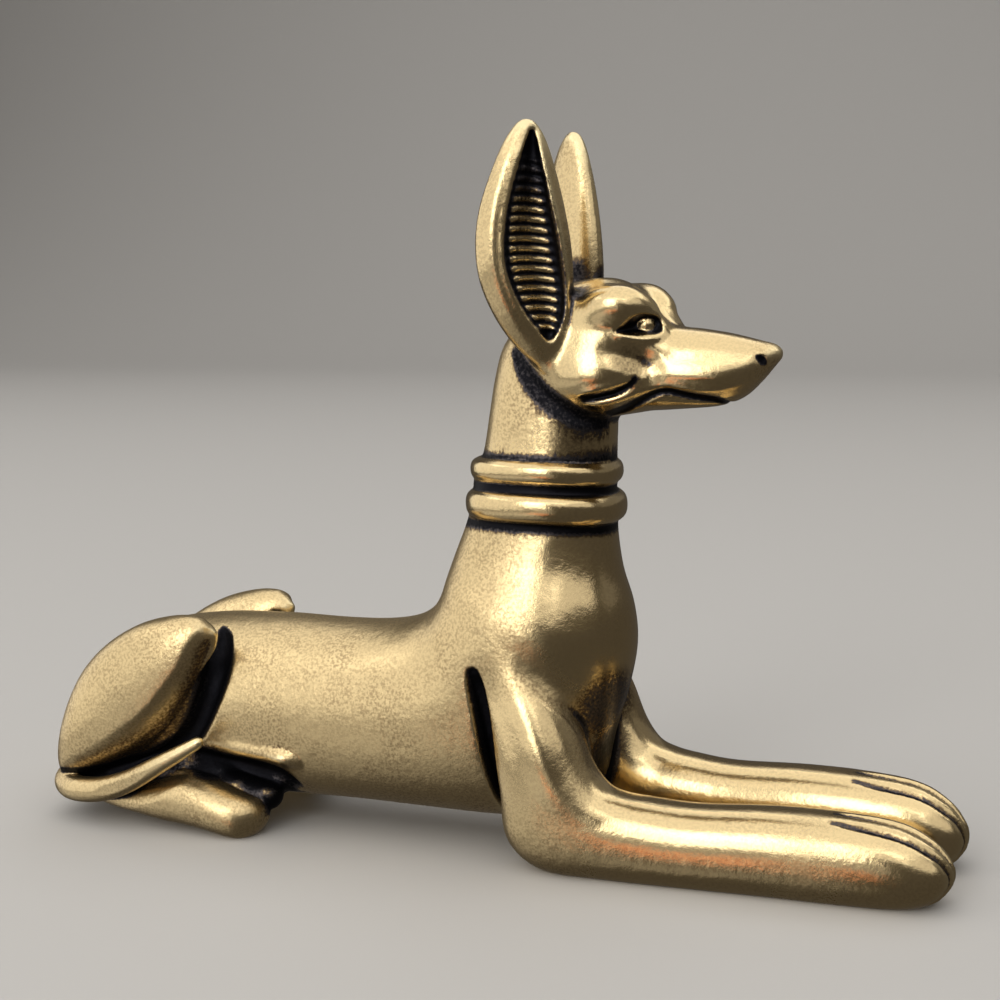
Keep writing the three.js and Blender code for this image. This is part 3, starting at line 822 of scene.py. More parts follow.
@dataclass(frozen=True)
class Head:
    """Skull and muzzle with brows, eyes, cheeks, lips and nose.

    Skull row: x, under z, upper z, half width, squareness, lean to the jaw. The lines on its side
    are rows of x, z, half width, depth; a depth less than nothing is a ridge.
    """

    rows: tuple = (
        (4.4, 51.2, 54.2, 1.6, 2, 0),
        (5.6, 48.8, 56.6, 3.5, 2, 0.1),
        (8.2, 46.9, 58.6, 5.1, 2.2, 0.16),
        (11.4, 46.0, 59.5, 6.0, 2.4, 0.18),
        (14.6, 45.8, 59.7, 6.1, 2.4, 0.16),
        (17.0, 46.1, 58.8, 5.6, 2.3, 0.12),
        (18.8, 46.4, 57.0, 4.9, 2.3, 0.08),
        (20.2, 46.5, 55.7, 4.5, 2.4, 0.05),
        (21.6, 46.6, 54.9, 4.1, 2.4, 0.02),
        (24, 46.8, 54.6, 3.8, 2.4, 0),
        (26.6, 47.2, 54.2, 3.4, 2.3, 0),
        (28.4, 48.0, 53.8, 3.0, 2.2, 0),
        (30, 49.5, 53.4, 2.4, 2.1, 0),
        (31.2, 50.9, 53.1, 1.6, 2, 0),
        (31.9, 51.7, 52.6, 0.7, 2, 0),
    )
    brow: tuple = (
        (13.4, 4.1, 56.6, 1.3), (15.2, 4.3, 57.0, 1.9), (17.2, 4.0, 57.0, 2.0),
        (18.7, 3.2, 56.5, 1.6), (19.4, 2.8, 55.6, 1.2), (20.0, 2.3, 54.7, 0.9),
    )
    forehead: tuple = (
        (16.6, 59.4, 0.5, 0.1), (18.8, 57.6, 1.1, 0.35), (20.4, 55.8, 0.9, 0.3), (21.6, 55.0, 0.4, 0.1),
    )
    forehead_view: tuple = (0.6, 0, 0.8)
    cheek: tuple = (
        (11.0, 50.4, 2.6, -0.2), (13.4, 49.9, 2.8, -0.45), (16.0, 50.2, 2.2, -0.3),
        (17.6, 50.8, 1.5, -0.1),
    )
    dent: tuple = (
        (15.6, 52.9, 1.2, 0.1), (17.6, 52.2, 1.8, 0.45), (19.4, 51.4, 2.0, 0.6), (20.0, 50.4, 1.6, 0.3),
    )
    lip: tuple = (
        (20.8, 50.4, 1.3, -0.15), (23.0, 50.2, 1.9, -0.4), (26.0, 50.1, 2.0, -0.45),
        (28.8, 50.7, 1.6, -0.2),
    )
    socket: tuple = (
        (16.9, 54.6, 0.2, 0.3), (17.7, 54.8, 0.42, 0.6), (18.4, 55.05, 0.72, 0.8),
        (19.0, 55.25, 0.95, 0.85), (19.6, 55.25, 0.95, 0.8), (20.0, 55.0, 0.75, 0.65),
        (20.4, 54.7, 0.4, 0.3),
    )
    eye: tuple = (19.05, 55.1)
    eye_radii: tuple = (0.95, 0.8, 0.84)
    eye_stand: float = 0.8
    eye_soot_left: float = 0.1
    eye_sides: int = 32
    eye_rings: int = 24
    eye_rise: tuple = (0.02, 0.98)
    eye_blend: float = 0.05
    lower_lid: tuple = (
        (16.4, 54.5, 0.3, -0.1), (17.2, 54.1, 0.42, -0.28), (18.6, 53.8, 0.45, -0.32),
        (19.8, 53.8, 0.42, -0.28), (20.7, 54.0, 0.3, -0.12),
    )
    duct: tuple = ((20.5, 55.6, 0.35, -0.06), (21.0, 54.9, 0.4, -0.14), (21.2, 54.1, 0.3, -0.05))
    mouth: tuple = (
        (27.2, 46.9, 0.3, 0.1), (26.6, 47.5, 0.34, 0.3), (25.6, 47.85, 0.36, 0.42),
        (24.2, 48.05, 0.38, 0.48), (22.6, 48.4, 0.38, 0.5), (21.4, 48.65, 0.38, 0.5),
        (20.3, 48.5, 0.38, 0.5), (18.6, 47.7, 0.38, 0.45), (16.8, 46.8, 0.38, 0.35),
        (15.2, 46.3, 0.35, 0.2),
    )
    lip_edge: tuple = (
        (29.2, 49.7, 0.4, -0.1), (27.2, 48.9, 0.42, -0.2), (25.0, 48.7, 0.42, -0.22),
        (23.0, 49.0, 0.42, -0.2), (21.2, 49.4, 0.4, -0.1),
    )
    fold: tuple = (
        (13.3, 47.9, 0.36, 0.5), (14.6, 48.1, 0.4, 0.7), (16.1, 48.45, 0.38, 0.65),
        (17.3, 48.95, 0.35, 0.5), (18.1, 49.5, 0.28, 0.2), (18.5, 50.0, 0.22, 0.05),
    )
    fold_ridge: tuple = (
        (12.9, 48.2, 0.4, -0.1), (14.0, 48.7, 0.42, -0.22), (15.8, 49.1, 0.42, -0.25),
        (17.2, 49.6, 0.4, -0.16), (18.0, 50.2, 0.35, -0.05),
    )
    wrinkle: tuple = (
        (14.0, 47.2, 0.35, -0.12), (15.6, 47.45, 0.4, -0.24), (17.2, 47.95, 0.4, -0.26),
        (18.8, 48.7, 0.36, -0.14), (19.5, 49.0, 0.3, -0.04),
    )
    nostril: tuple = ((30.05, 51.95, 0.28, 0.15), (30.35, 51.75, 0.42, 0.45), (30.5, 51.4, 0.36, 0.3))
    jaw_strip: tuple = (
        (27.0, 47.75, 0.3, -0.03), (25.4, 47.25, 0.45, -0.12), (22.6, 47.3, 0.5, -0.15),
        (19.6, 47.2, 0.45, -0.08),
    )
    throat: tuple = (
        (5.8, 52.4, 0.5, 0.1), (7.2, 50.3, 0.8, 0.25), (9.0, 48.3, 0.9, 0.3), (11.0, 46.8, 0.9, 0.3),
        (12.6, 45.8, 0.9, 0.2), (13.8, 45.5, 0.8, 0.1),
    )
    steps: int = 8
    blend: float = 0.9
    brow_blend: float = 1.6

    def build(self, casting: Field) -> None:
        """Adds the skull and the two brows.

        Args:
            casting: the field of distances.
        """
        rows = smoothed(self.rows, self.steps)
        rings = ovals(rows[:, [0, 1]], rows[:, [0, 2]], 0.0, rows[:, 3], rows[:, 4], rows[:, 5])
        casting.add(lofted(rings), self.blend)
        for side in Side:
            casting.add(rod(on_side(side, self.brow)), self.brow_blend)

    def on_head(self, casting: Field, side: Side, rows: tuple) -> list:
        """Rows of x, z, half width, depth set on the head's own side."""
        return [(x, casting.side_at(x, z, side), z, w, d) for x, z, w, d in rows]

    def carve(self, casting: Field) -> None:
        """Draws the soft forms first, then the eyes, the mouth, the folds and the nose.

        Args:
            casting: the field of distances.
        """
        middle = [(x, 0.0, z, w, d) for x, z, w, d in self.forehead]
        casting.draw(Line(middle, self.forehead_view, reach=1.5, soot_and_shade=0.12))
        forms = (
            self.cheek, self.dent, self.lip, self.lower_lid, self.duct, self.lip_edge,
            self.fold_ridge, self.wrinkle, self.jaw_strip,
        )
        for side in Side:
            for rows in forms:
                casting.draw(Line(self.on_head(casting, side, rows)))
        for side in Side:
            # The throat line's soot is painted shade under the jaw.
            throat = self.on_head(casting, side, self.throat)
            casting.draw(Line(throat, reach=2.4, soot_and_shade=0.8, spread=1.8))
            socket = self.on_head(casting, side, self.socket)
            casting.draw(Line(socket, reach=1.6, profile=Profile.FLAT, soot_and_shade=1.0, spread=1.25))
            for rows, reach in ((self.mouth, 1.4), (self.fold, 1.4), (self.nostril, 0.9)):
                casting.draw(Line(self.on_head(casting, side, rows), soot_and_shade=1.0, spread=1.2, reach=reach))
            self.add_eyeball(casting, side)

    def add_eyeball(self, casting: Field, side: Side) -> None:
        """Sets an eyeball, a sphere stretched to the eye's three radii, into its socket.

        Args:
            casting: the field of distances.
            side: side of the figure.
        """
        x, z = self.eye
        y = casting.side_at(x, z, side) + side.value * (self.eye_stand - self.eye_radii[1])
        rise = np.linspace(*self.eye_rise, self.eye_rings) * TURN / 2
        turn, rise = np.meshgrid(around(self.eye_sides), rise)
        ball = np.stack([np.cos(turn) * np.sin(rise), np.sin(turn) * np.sin(rise), np.cos(rise)], -1)
        skin = lofted(ball * np.array(self.eye_radii) + np.array([x, y, z]))
        casting.add(skin, self.eye_blend)
        casting.bare.append((np.array([[x, y, z, self.eye_radii[2]]]), self.eye_soot_left))


@dataclass(frozen=True)
class Ear:
    """Upright leaf-shaped ear with a ribbed hollow in its outer face.

    Row: height z, middle x, middle y, half width, half depth. Hollow row: height z, shift towards
    the front rim, half width, depth. A span holds two heights over which something sets in and
    two over which it ends. Across the hollow, 1 is its front edge and -1 its rear edge. A rim is
    how far off the hollow's edge it lies, half width, depth, and a line is half width, depth.
    """

    side: Side
    turn: float = np.radians(32)
    rows: tuple = (
        (50.8, 9.6, 5.3, 0.7, 0.7),
        (53, 9.0, 5.6, 2.5, 1.5),
        (56, 8.4, 6.0, 3.9, 2.0),
        (59.5, 7.9, 6.5, 4.7, 2.2),
        (63, 7.7, 6.8, 4.8, 2.2),
        (66.5, 7.7, 7.0, 4.3, 2.0),
        (70, 7.9, 7.0, 3.3, 1.6),
        (73, 8.1, 6.9, 2.15, 1.15),
        (74.6, 8.2, 6.85, 1.15, 0.75),
        (75.2, 8.2, 6.8, 0.4, 0.3),
    )
    hollow: tuple = (
        (53.7, 0.7, 0.25, 0.5),
        (54.8, 0.8, 1.1, 1.2),
        (56.6, 0.8, 2.1, 1.9),
        (59.2, 0.8, 2.8, 2.3),
        (62, 0.6, 2.9, 2.4),
        (65.4, 0.5, 2.5, 2.2),
        (68.8, 0.4, 1.8, 1.8),
        (71.8, 0.4, 1.0, 1.3),
        (74.2, 0.5, 0.25, 0.6),
    )
    steps: int = 8
    sides: int = 64
    blend: float = 0.9
    left_height: float = 0.982
    front_lean: float = 0.5
    edge_blend: float = 0.25
    pitch: float = 0.96
    rib_margin: tuple = (4.0, 4.0, 0.0)
    rib_near: float = 1.2
    rib_height: float = 0.6
    rib_sharpness: float = 0.38
    rib_arch: float = 0.35
    rib_slant: float = 0.2
    rib_span: tuple = (54.2, 55.2, 70.5, 72.5)
    rib_sunk: tuple = (0.1, 0.5)
    rib_front: tuple = (0.55, 0.95)
    rib_rear: tuple = (0.75, 1.0)
    hollow_span: tuple = (53.6, 54.2, 74.0, 74.4)
    hollow_sunk: tuple = (0.1, 0.35)
    hollow_side: tuple = (1.0, 1.1)
    deepest: tuple = (1.45, 1.6)
    rubbed: tuple = (0.4, 0.85)
    less_rubbed: tuple = (0.6, 66, 70)
    rim_span: tuple = (54.0, 57.0, 71.5, 74.0)
    rim_stand: float = 0.7
    inner_rim: tuple = (-0.25, 0.4, -0.16)
    outer_rim: tuple = (0.2, 0.35, -0.12)
    front_line: tuple = (0.32, 0.1)
    rear_line: tuple = (1.0, -0.2)

    def stations(self, rows: tuple) -> np.ndarray:
        """Dense rows with their heights above the root in the first column; the left ear is lower.

        Args:
            rows: rows of the ear or of its hollow.

        Returns:
            The dense rows.
        """
        table = smoothed(rows, self.steps)
        if self.side is Side.LEFT:
            root = self.rows[0][0]
            table[:, 0] = root + (table[:, 0] - root) * self.left_height
        return table

    def frame(self) -> tuple:
        """Directions out through the opening and across it to the front rim.

        Returns:
            The two directions.
        """
        sign = self.side.value
        out = np.array([np.sin(self.turn), sign * np.cos(self.turn), 0])
        rim = np.array([np.cos(self.turn), -sign * np.sin(self.turn), 0])
        return out, rim

    def table(self) -> tuple:
        """Dense rows of the hollow, and the middle and half depth of the ear at their heights.

        Returns:
            The hollow's rows, the ear's middles and its half depths.
        """
        table, body = self.stations(self.hollow), self.stations(self.rows)
        x, y, deep = (np.interp(table[:, 0], body[:, 0], body[:, c]) for c in (1, 2, 4))
        return table, np.stack([x, self.side.value * y, table[:, 0]], -1), deep

    def build(self, casting: Field) -> None:
        """Adds the leaf as level ellipses turned a little outward.

        Args:
            casting: the field of distances.
        """
        out, rim = self.frame()
        rows = self.stations(self.rows)
        angle = around(self.sides)
        middle = np.stack([rows[:, 1], self.side.value * rows[:, 2], rows[:, 0]], -1)
        rings = (
            middle[:, None]
            + rim * (rows[:, 3:4] * np.cos(angle))[..., None]
            + out * (rows[:, 4:5] * np.sin(angle))[..., None]
        )
        casting.add(lofted(rings), self.blend)

    def carve(self, casting: Field) -> None:
        """Cuts the hollow, deepest behind the front rim, and raises the ribs on its floor.

        Args:
            casting: the field of distances.
        """
        out, rim = self.frame()
        table, middle, deep = self.table()
        angle = around(self.sides)
        across = table[:, 1:2] + table[:, 2:3] * np.cos(angle)
        depth = table[:, 3:4] * (1 + self.front_lean * np.cos(angle) * (np.sin(angle) < 0))
        outward = deep[:, None] + depth * np.sin(angle)
        rings = middle[:, None] + rim * across[..., None] + out * outward[..., None]
        casting.cut(lofted(rings), self.edge_blend)
        self.rib(casting)
        self.line_rims(casting)

    def waves(self, places: np.ndarray) -> tuple:
        """Ribs and depth of the hollow at places.

        A rib's height is a raised cosine of the height above the ground, one wave to a pitch, to
        the power of its sharpness. The height is bent so that each rib arches, and the ribs fade
        out before the edges.

        Args:
            places: rows of x, y, z in hundredths.

        Returns:
            The height of the ribs from 0 to 1, and how far inside the hollow each place is, 0 to 1.
        """
        out, rim = self.frame()
        table, middle, deep = self.table()
        height = places[:, 2]
        centre = np.stack([np.interp(height, table[:, 0], middle[:, c]) for c in range(3)], -1)
        shift, half, depth = (np.interp(height, table[:, 0], table[:, c]) for c in (1, 2, 3))
        lip = np.interp(height, table[:, 0], deep)
        across = ((places - centre) @ rim - shift) / half
        sunk = lip - (places - centre) @ out
        bent = height - self.rib_arch * (1 - across ** 2) + self.rib_slant * across
        wave = (0.5 + 0.5 * np.cos(bent / self.pitch * TURN)) ** self.rib_sharpness
        floor = np.minimum(depth * self.deepest[0], lip * self.deepest[1])
        hollow = (1 - ramp(np.abs(across), *self.hollow_side)) * (sunk < floor) * (sunk > 0)
        hollow = hollow * between(height, self.hollow_span)
        ribs = wave * ramp(sunk, *self.rib_sunk)
        ribs = ribs * (1 - ramp(across, *self.rib_front)) * (1 - ramp(-across, *self.rib_rear)) * hollow
        return ribs * between(height, self.rib_span), hollow * ramp(sunk, *self.hollow_sunk)

    def rib(self, casting: Field) -> None:
        """Raises the ribs on the floor of the hollow.

        Args:
            casting: the field of distances.
        """
        middle = self.table()[1]
        margin = np.array(self.rib_margin)
        where = casting.region(middle.min(axis=0) - margin, middle.max(axis=0) + margin)
        near = np.abs(casting.values[where]) < self.rib_near
        ribs, _ = self.waves(casting.places(where, near))
        part = casting.values[where]
        part[near] -= (self.rib_height * ribs).astype(np.float32)

    def soot_and_shade(self, points: np.ndarray) -> tuple:
        """Soot in the hollow, and how far it is rubbed off the tops of the ribs, less so high up.

        Args:
            points: rows of x, y, z in hundredths.

        Returns:
            The soot and the share of it that is rubbed off, 0 to 1.
        """
        ribs, hollow = self.waves(points)
        less, low, high = self.less_rubbed
        return hollow, ramp(ribs, *self.rubbed) * (1 - less * ramp(points[:, 2], low, high))

    def line_rims(self, casting: Field) -> None:
        """Draws a fine groove along the front rim, a broad ridge along the rear one and two lips.

        Args:
            casting: the field of distances.
        """
        out, rim = self.frame()
        table, middle, deep = self.table()
        body = self.stations(self.rows)
        half = np.interp(table[:, 0], body[:, 0], body[:, 3])
        rear_edge, front_edge = table[:, 1] - table[:, 2], table[:, 1] + table[:, 2]
        inner, outer = self.inner_rim, self.outer_rim
        strength = between(table[:, 0], self.rim_span)
        for across, width, depth in (
            ((front_edge + half) / 2, *self.front_line),
            ((rear_edge - half) / 2, *self.rear_line),
            (rear_edge + inner[0], *inner[1:]),
            (front_edge + outer[0], *outer[1:]),
        ):
            places = middle + rim * across[:, None] + out * deep[:, None] * self.rim_stand
            rows = [(*place, width, depth * share) for place, share in zip(places, strength)]
            casting.draw(Line(rows[::4], view=tuple(out), reach=1.6, steps=4))


@dataclass(frozen=True)
class Collar:
    """Two rounded rings round the neck with a gap between them, the lower one first.

    Plan: middle x, half length, half width. Core: the same and the height of what fills the gap.
    Soot plan: the same for the soot in the gap, which ends outside it.
    """

    gap_level: float = 38.45
    gap: float = 0.7
    heights: tuple = (3.2, 2.6)
    plans: tuple = ((7.2, 8.35, 7.4), (7.3, 7.9, 6.9))
    stand: float = 1.8
    ring_sides: int = 160
    bead_sides: int = 32
    ring_blend: float = 0.15
    core_blend: float = 0.1
    bead_squareness: float = 2.7
    plan_squareness: float = 2.3
    tilt: float = 0.022
    saddle: float = 0.35
    pivot: float = 7.25
    saddle_half: float = 7.0
    core: tuple = (6.95, 7.3, 6.3, 1.0)
    soot_plan: tuple = (7.25, 8.1, 7.1)
    soot_end: tuple = (0.95, 1.02)
    gap_soot: tuple = (0.3, 0.58)
    # Painted shade under the lower ring and over the upper one, where the rings meet the neck.
    below_ring_shade: tuple = (0.4, 1.2)
    above_ring_shade: tuple = (0.2, 0.9)
    above_shade_share: float = 0.8
    shine_end: tuple = (3.0, 3.6)

    def build(self, casting: Field) -> None:
        """Carries a rounded bead round a squarish oval for each ring, and fills the gap's floor.

        Args:
            casting: the field of distances.
        """
        turn = around(self.ring_sides)
        exponent = 2 / self.plan_squareness
        out_x, out_y = power(np.cos(turn), exponent), power(np.sin(turn), exponent)
        bead = around(self.bead_sides)
        inward = -self.stand * (1 - power(np.cos(bead), 2 / self.bead_squareness))
        rise = power(np.sin(bead), 2 / self.bead_squareness)
        for sign, height, (x, half_length, half_width) in zip((-1, 1), self.heights, self.plans):
            z = self.gap_level + sign * (self.gap + height) / 2
            ahead = out_x[:, None] * (half_length + inward)
            beside = out_y[:, None] * (half_width + inward)
            level = z + rise * height / 2 + self.lift(x + ahead, beside)
            casting.add(lofted(np.stack([x + ahead, beside, level], -1), wheel=True), self.ring_blend)
        x, half_length, half_width, height = self.core
        levels = self.gap_level + np.array([-0.5, 0.5])[:, None] * height
        ahead, beside = x + out_x * half_length, out_y * half_width
        rings = np.stack(np.broadcast_arrays(ahead, beside, levels + self.lift(ahead, beside)), -1)
        casting.add(lofted(rings), self.core_blend)

    def lift(self, x: np.ndarray, y: np.ndarray) -> np.ndarray:
        """Height that the collar rises towards the nape and the sides."""
        return self.saddle * (y / self.saddle_half) ** 2 - self.tilt * (x - self.pivot)

    def above_gap(self, points: np.ndarray) -> np.ndarray:
        """Height of points above the middle of the gap."""
        return points[:, 2] - self.lift(points[:, 0], points[:, 1]) - self.gap_level

    def soot_and_shade(self, points: np.ndarray) -> np.ndarray:
        """Soot in the gap of the collar, and painted shade where the rings meet the neck.

        Args:
            points: rows of x, y, z in hundredths.

        Returns:
            The amounts of soot and painted shade, 0 to 1.
        """
        middle, half_length, half_width = self.soot_plan
        along = np.abs(points[:, 0] - middle) / half_length
        across = np.abs(points[:, 1]) / half_width
        reach = along ** self.plan_squareness + across ** self.plan_squareness
        height = self.above_gap(points)
        lower, upper = (self.gap / 2 + ring for ring in self.heights)
        gap = (1 - ramp(np.abs(height), *self.gap_soot)) * (1 - ramp(reach, *self.soot_end))
        # Painted shade under the lower ring and over the upper one.
        below = (1 - ramp(-lower - height, *self.below_ring_shade)) * (height < 0.1 - lower)
        above = self.above_shade_share * (1 - ramp(height - upper, *self.above_ring_shade)) * (height > upper + 0.05)
        return np.maximum(gap, np.maximum(below, above))

    def shine(self, points: np.ndarray) -> np.ndarray:
        """Polish of the rings, which ends where they meet the neck."""
        return 1 - ramp(np.abs(self.above_gap(points)), *self.shine_end)


@dataclass
class Jackal:
    """The whole casting, fused from its forms and carved.

    Spots of soot and painted shade, and shiny places, are rows of x, y, z, radius, amount; those of a
    pair lie on both sides. The single spots are patina at the roots of the ears and painted shade
    between the forelegs; the pairs are painted shade under the belly, the tail and the haunch
    leaves, and on the sides of the chest, the neck and the face. The shades of the haunches are
    painted shade too: lines of no depth, a light one on the leaf's lower facet and a full one along
    its lower edge and under it.
    """

    triangle_limit: int = 190000
    corners: tuple = ((-50.6, -14.0, -0.8), (50.8, 14.0, 76.0))
    softness: float = 0.5
    # Spots of patina at the roots of the ears and of painted shade between the forelegs.
    patina_and_shade_spots: tuple = (
        (11.3, 0.5, 58.9, 3.5, 1.1), (12.2, -4.4, 59.0, 2.2, 0.7), (13.4, 0.0, 10.5, 5.2, 0.8),
        (9.8, 4.6, 60.1, 2.5, 0.9), (12.6, 4.6, 60.0, 2.3, 0.9), (12.5, 0.0, 7.5, 3.6, 0.9),
    )
    # Painted shade, on both sides: chest, neck, face, belly corners, under the tail and haunch.
    painted_shade_pairs: tuple = (
        (14.5, 3.0, 16.5, 5.5, 0.5), (-23.0, 6.2, 3.7, 2.8, 1.6), (-27.6, 7.0, 6.3, 2.2, 1.5),
        (-22.0, 5.2, 3.4, 2.1, 1.3), (12.2, 4.6, 44.2, 4.6, 0.17), (18.0, 5.0, 51.7, 2.6, 0.17),
        (-30.6, 8.8, 8.4, 1.7, 1.3), (-24.6, 6.8, 5.6, 3.0, 1.0), (-30.0, 8.0, 7.4, 3.0, 1.0),
        (-34.6, 8.2, 7.4, 2.6, 1.0),
    )
    spot_full: float = 0.3
    shiny: tuple = (
        (14.0, 0.0, 27.0, 13.0, 1.0), (19.0, 0.0, 52.0, 14.0, 1.0), (24.0, 0.0, 6.0, 18.0, 1.0),
        (44.0, 0.0, 5.0, 14.0, 1.0), (7.2, 0.0, 38.0, 9.5, 0.9), (12.0, -2.0, 43.5, 7.0, 0.8),
    )
    shiny_pairs: tuple = ((8.0, 11.0, 13.0, 7.0, 0.8), (8.0, 8.0, 62.0, 12.0, 0.6))
    shiny_full: float = 0.6
    # Painted shade on the lower facet of each haunch leaf.
    haunch_shade: tuple = (
        (-33.2, 11.2, 11.8, 1.6, 0), (-38.0, 12.0, 9.2, 2.0, 0), (-44.0, 12.0, 6.6, 1.8, 0),
    )
    # Painted shade along the lower edge of each haunch leaf and under it.
    shade_under_haunch: tuple = (
        (-47.8, 10.4, 5.4, 0.8, 0), (-43.0, 11.0, 5.9, 0.9, 0), (-38.0, 11.0, 7.2, 1.0, 0),
        (-33.4, 10.6, 9.8, 1.0, 0),
    )
    hollow_radii: tuple = (("fine", 2), ("middle", 4), ("broad", 10))
    bare_edge: tuple = (1.05, 1.25)
    trunk: Trunk = field(default_factory=Trunk)
    head: Head = field(default_factory=Head)
    tail: Tail = field(default_factory=Tail)
    collar: Collar = field(default_factory=Collar)

    def cast(self) -> Field:
        """Fuses and carves the forms.

        Returns:
            The field of distances from the finished surface.
        """
        forelegs, hind, ears = ([kind(side) for side in Side] for kind in (Foreleg, Hindquarter, Ear))
        casting = Field(*self.corners, CELL)
        for form in (self.trunk, *forelegs, *hind, self.head, *ears, self.collar):
            form.build(casting)
            LOG.info("%s added", type(form).__name__)
        for form in (*ears, self.head, self.trunk, *hind, *forelegs):
            form.carve(casting)
            LOG.info("%s carved", type(form).__name__)
        self.tail.build(casting)
        LOG.info("Tail added")
        height = np.arange(casting.shape[2]) * CELL + casting.low[2]
        casting.values = np.maximum(casting.values, -height.astype(np.float32))
        casting.soften(self.softness)
        return casting

    def mesh(self, casting: Field) -> bpy.types.Object:
        """Makes the figure's mesh under the limit of triangles and sets it on the surface.

        Args:
            casting: the field of distances.

        Returns:
            The piece, at the origin.
        """
        skin = casting.surface()
        mesh = bpy.data.meshes.new("jackal")
        mesh.from_pydata(skin.points.tolist(), [], skin.quads.tolist() + skin.triangles.tolist())
        piece = bpy.data.objects.new("jackal", mesh)
        bpy.context.scene.collection.objects.link(piece)
        total = 2 * len(skin.quads) + len(skin.triangles)
        piece.modifiers.new("triangles", "TRIANGULATE")
        thin = piece.modifiers.new("thin", "DECIMATE")
        thin.ratio = min(1.0, self.triangle_limit / total)
        graph = bpy.context.evaluated_depsgraph_get()
        final = bpy.data.meshes.new_from_object(piece.evaluated_get(graph))
        piece.modifiers.clear()
        piece.data = final
        bpy.data.meshes.remove(mesh)
        final.name = "jackal"
        points = np.empty(len(final.vertices) * 3, np.float32)
        final.vertices.foreach_get("co", points)
        points = points.reshape(-1, 3).astype(float)
        for _ in range(2):
            slope = casting.slope(points)
            distance = casting.sample(casting.values, points)
            points -= slope * (distance / np.maximum((slope ** 2).sum(axis=1), LEAST_SLOPE))[:, None]
        low, high = (np.array(corner) for corner in CAD_BOX)
        placed = np.clip((points + CENTRING) * SHARE, low, high)
        final.vertices.foreach_set("co", placed.astype(np.float32).ravel())
        final.polygons.foreach_set("use_smooth", np.ones(len(final.polygons), bool))
        self.mask(casting, final, points)
        final.update()
        LOG.info("jackal has %d triangles", len(final.polygons))
        return piece

    def mask(self, casting: Field, mesh: bpy.types.Mesh, points: np.ndarray) -> None:
        """Stores how hollow the surface is round each point at three scales, its soot, painted shade and
        polish.

        The hollow measure is the share of a small cube round the point that is metal, twice less
        one: nothing on a flat, more than nothing in a hollow and less on an edge. Soot and painted
        shade lie in the lines drawn on the surface, in the spots and round the collar, and fade at
        their edges.

        Args:
            casting: the field of distances.
            mesh: the figure's mesh.
            points: its points, in hundredths.
        """
        ears = [Ear(side).soot_and_shade(points) for side in Side]
        clean = self.clean(casting, points, [rubbed for _, rubbed in ears])
        filled = np.clip(0.5 - casting.values / casting.cell, 0, 1).astype(np.float32)
        for name, radius in self.hollow_radii:
            hollow = casting.sample(box_mean(box_mean(filled, radius), radius), points) * 2 - 1
            self.store(mesh, name, hollow * np.where(hollow > 0, clean, 1))
        patina_and_shade_spots = (*self.patina_and_shade_spots, *both_sides(self.painted_shade_pairs))
        soot_and_shade = self.line_soot_and_shade(casting, points)
        others = (patches(points, patina_and_shade_spots, self.spot_full), self.collar.soot_and_shade(points))
        for other in (*others, *(hollow for hollow, _ in ears)):
            soot_and_shade = np.maximum(soot_and_shade, other)
        # The soot mask also holds painted shade from the spots, the lines and the collar.
        self.store(mesh, "soot_and_shade", soot_and_shade * clean)
        shiny = patches(points, (*self.shiny, *both_sides(self.shiny_pairs)), self.shiny_full)
        self.store(mesh, "polish", np.maximum(shiny, self.collar.shine(points)))

    def clean(self, casting: Field, points: np.ndarray, rubbed: list) -> np.ndarray:
        """Share of the soot and painted shade that stays where forms stand proud and the ears are
        rubbed.

        Args:
            casting: the field of distances, with its bare forms.
            points: rows of x, y, z in hundredths.
            rubbed: how far the soot is rubbed off, for each ear.

        Returns:
            The shares.
        """
        clean = np.ones(len(points))
        for off in rubbed:
            clean *= 1 - off
        for rows, left in casting.bare:
            apart = np.linalg.norm(points[:, None] - rows[None, :, :3], axis=2) / rows[:, 3]
            clean *= left + (1 - left) * ramp(apart.min(axis=1), *self.bare_edge)
        return clean

    def line_soot_and_shade(self, casting: Field, points: np.ndarray) -> np.ndarray:
        """Soot and painted shade of the lines drawn on the surface, and of the painted haunch shades.

        Args:
            casting: the field of distances, with its lines.
            points: rows of x, y, z in hundredths.

        Returns:
            The amounts of soot and painted shade.
        """
        painted = []
        for side in Side:
            painted.append(Line(on_side(side, self.haunch_shade), reach=3.0, soot_and_shade=0.22))
            painted.append(Line(on_side(side, self.shade_under_haunch), reach=2.4, soot_and_shade=1.0))
        soot_and_shade = np.zeros(len(points))
        for line in (*casting.drawn, *painted):
            if line.soot_and_shade > 0:
                low, high = line.box()
                near = ((points > low) & (points < high)).all(axis=1)
                distance, _ = line.nearest(points[near])
                amount = line.soot_and_shade * (1 - ramp(distance / line.spread, line.core, 1.0))
                soot_and_shade[near] = np.maximum(soot_and_shade[near], amount)
        return soot_and_shade

    def store(self, mesh: bpy.types.Mesh, name: str, values: np.ndarray) -> None:
        """Stores one number for each point of the mesh."""
        layer = mesh.attributes.new(name, "FLOAT", "POINT")
        layer.data.foreach_set("value", values.astype(np.float32))


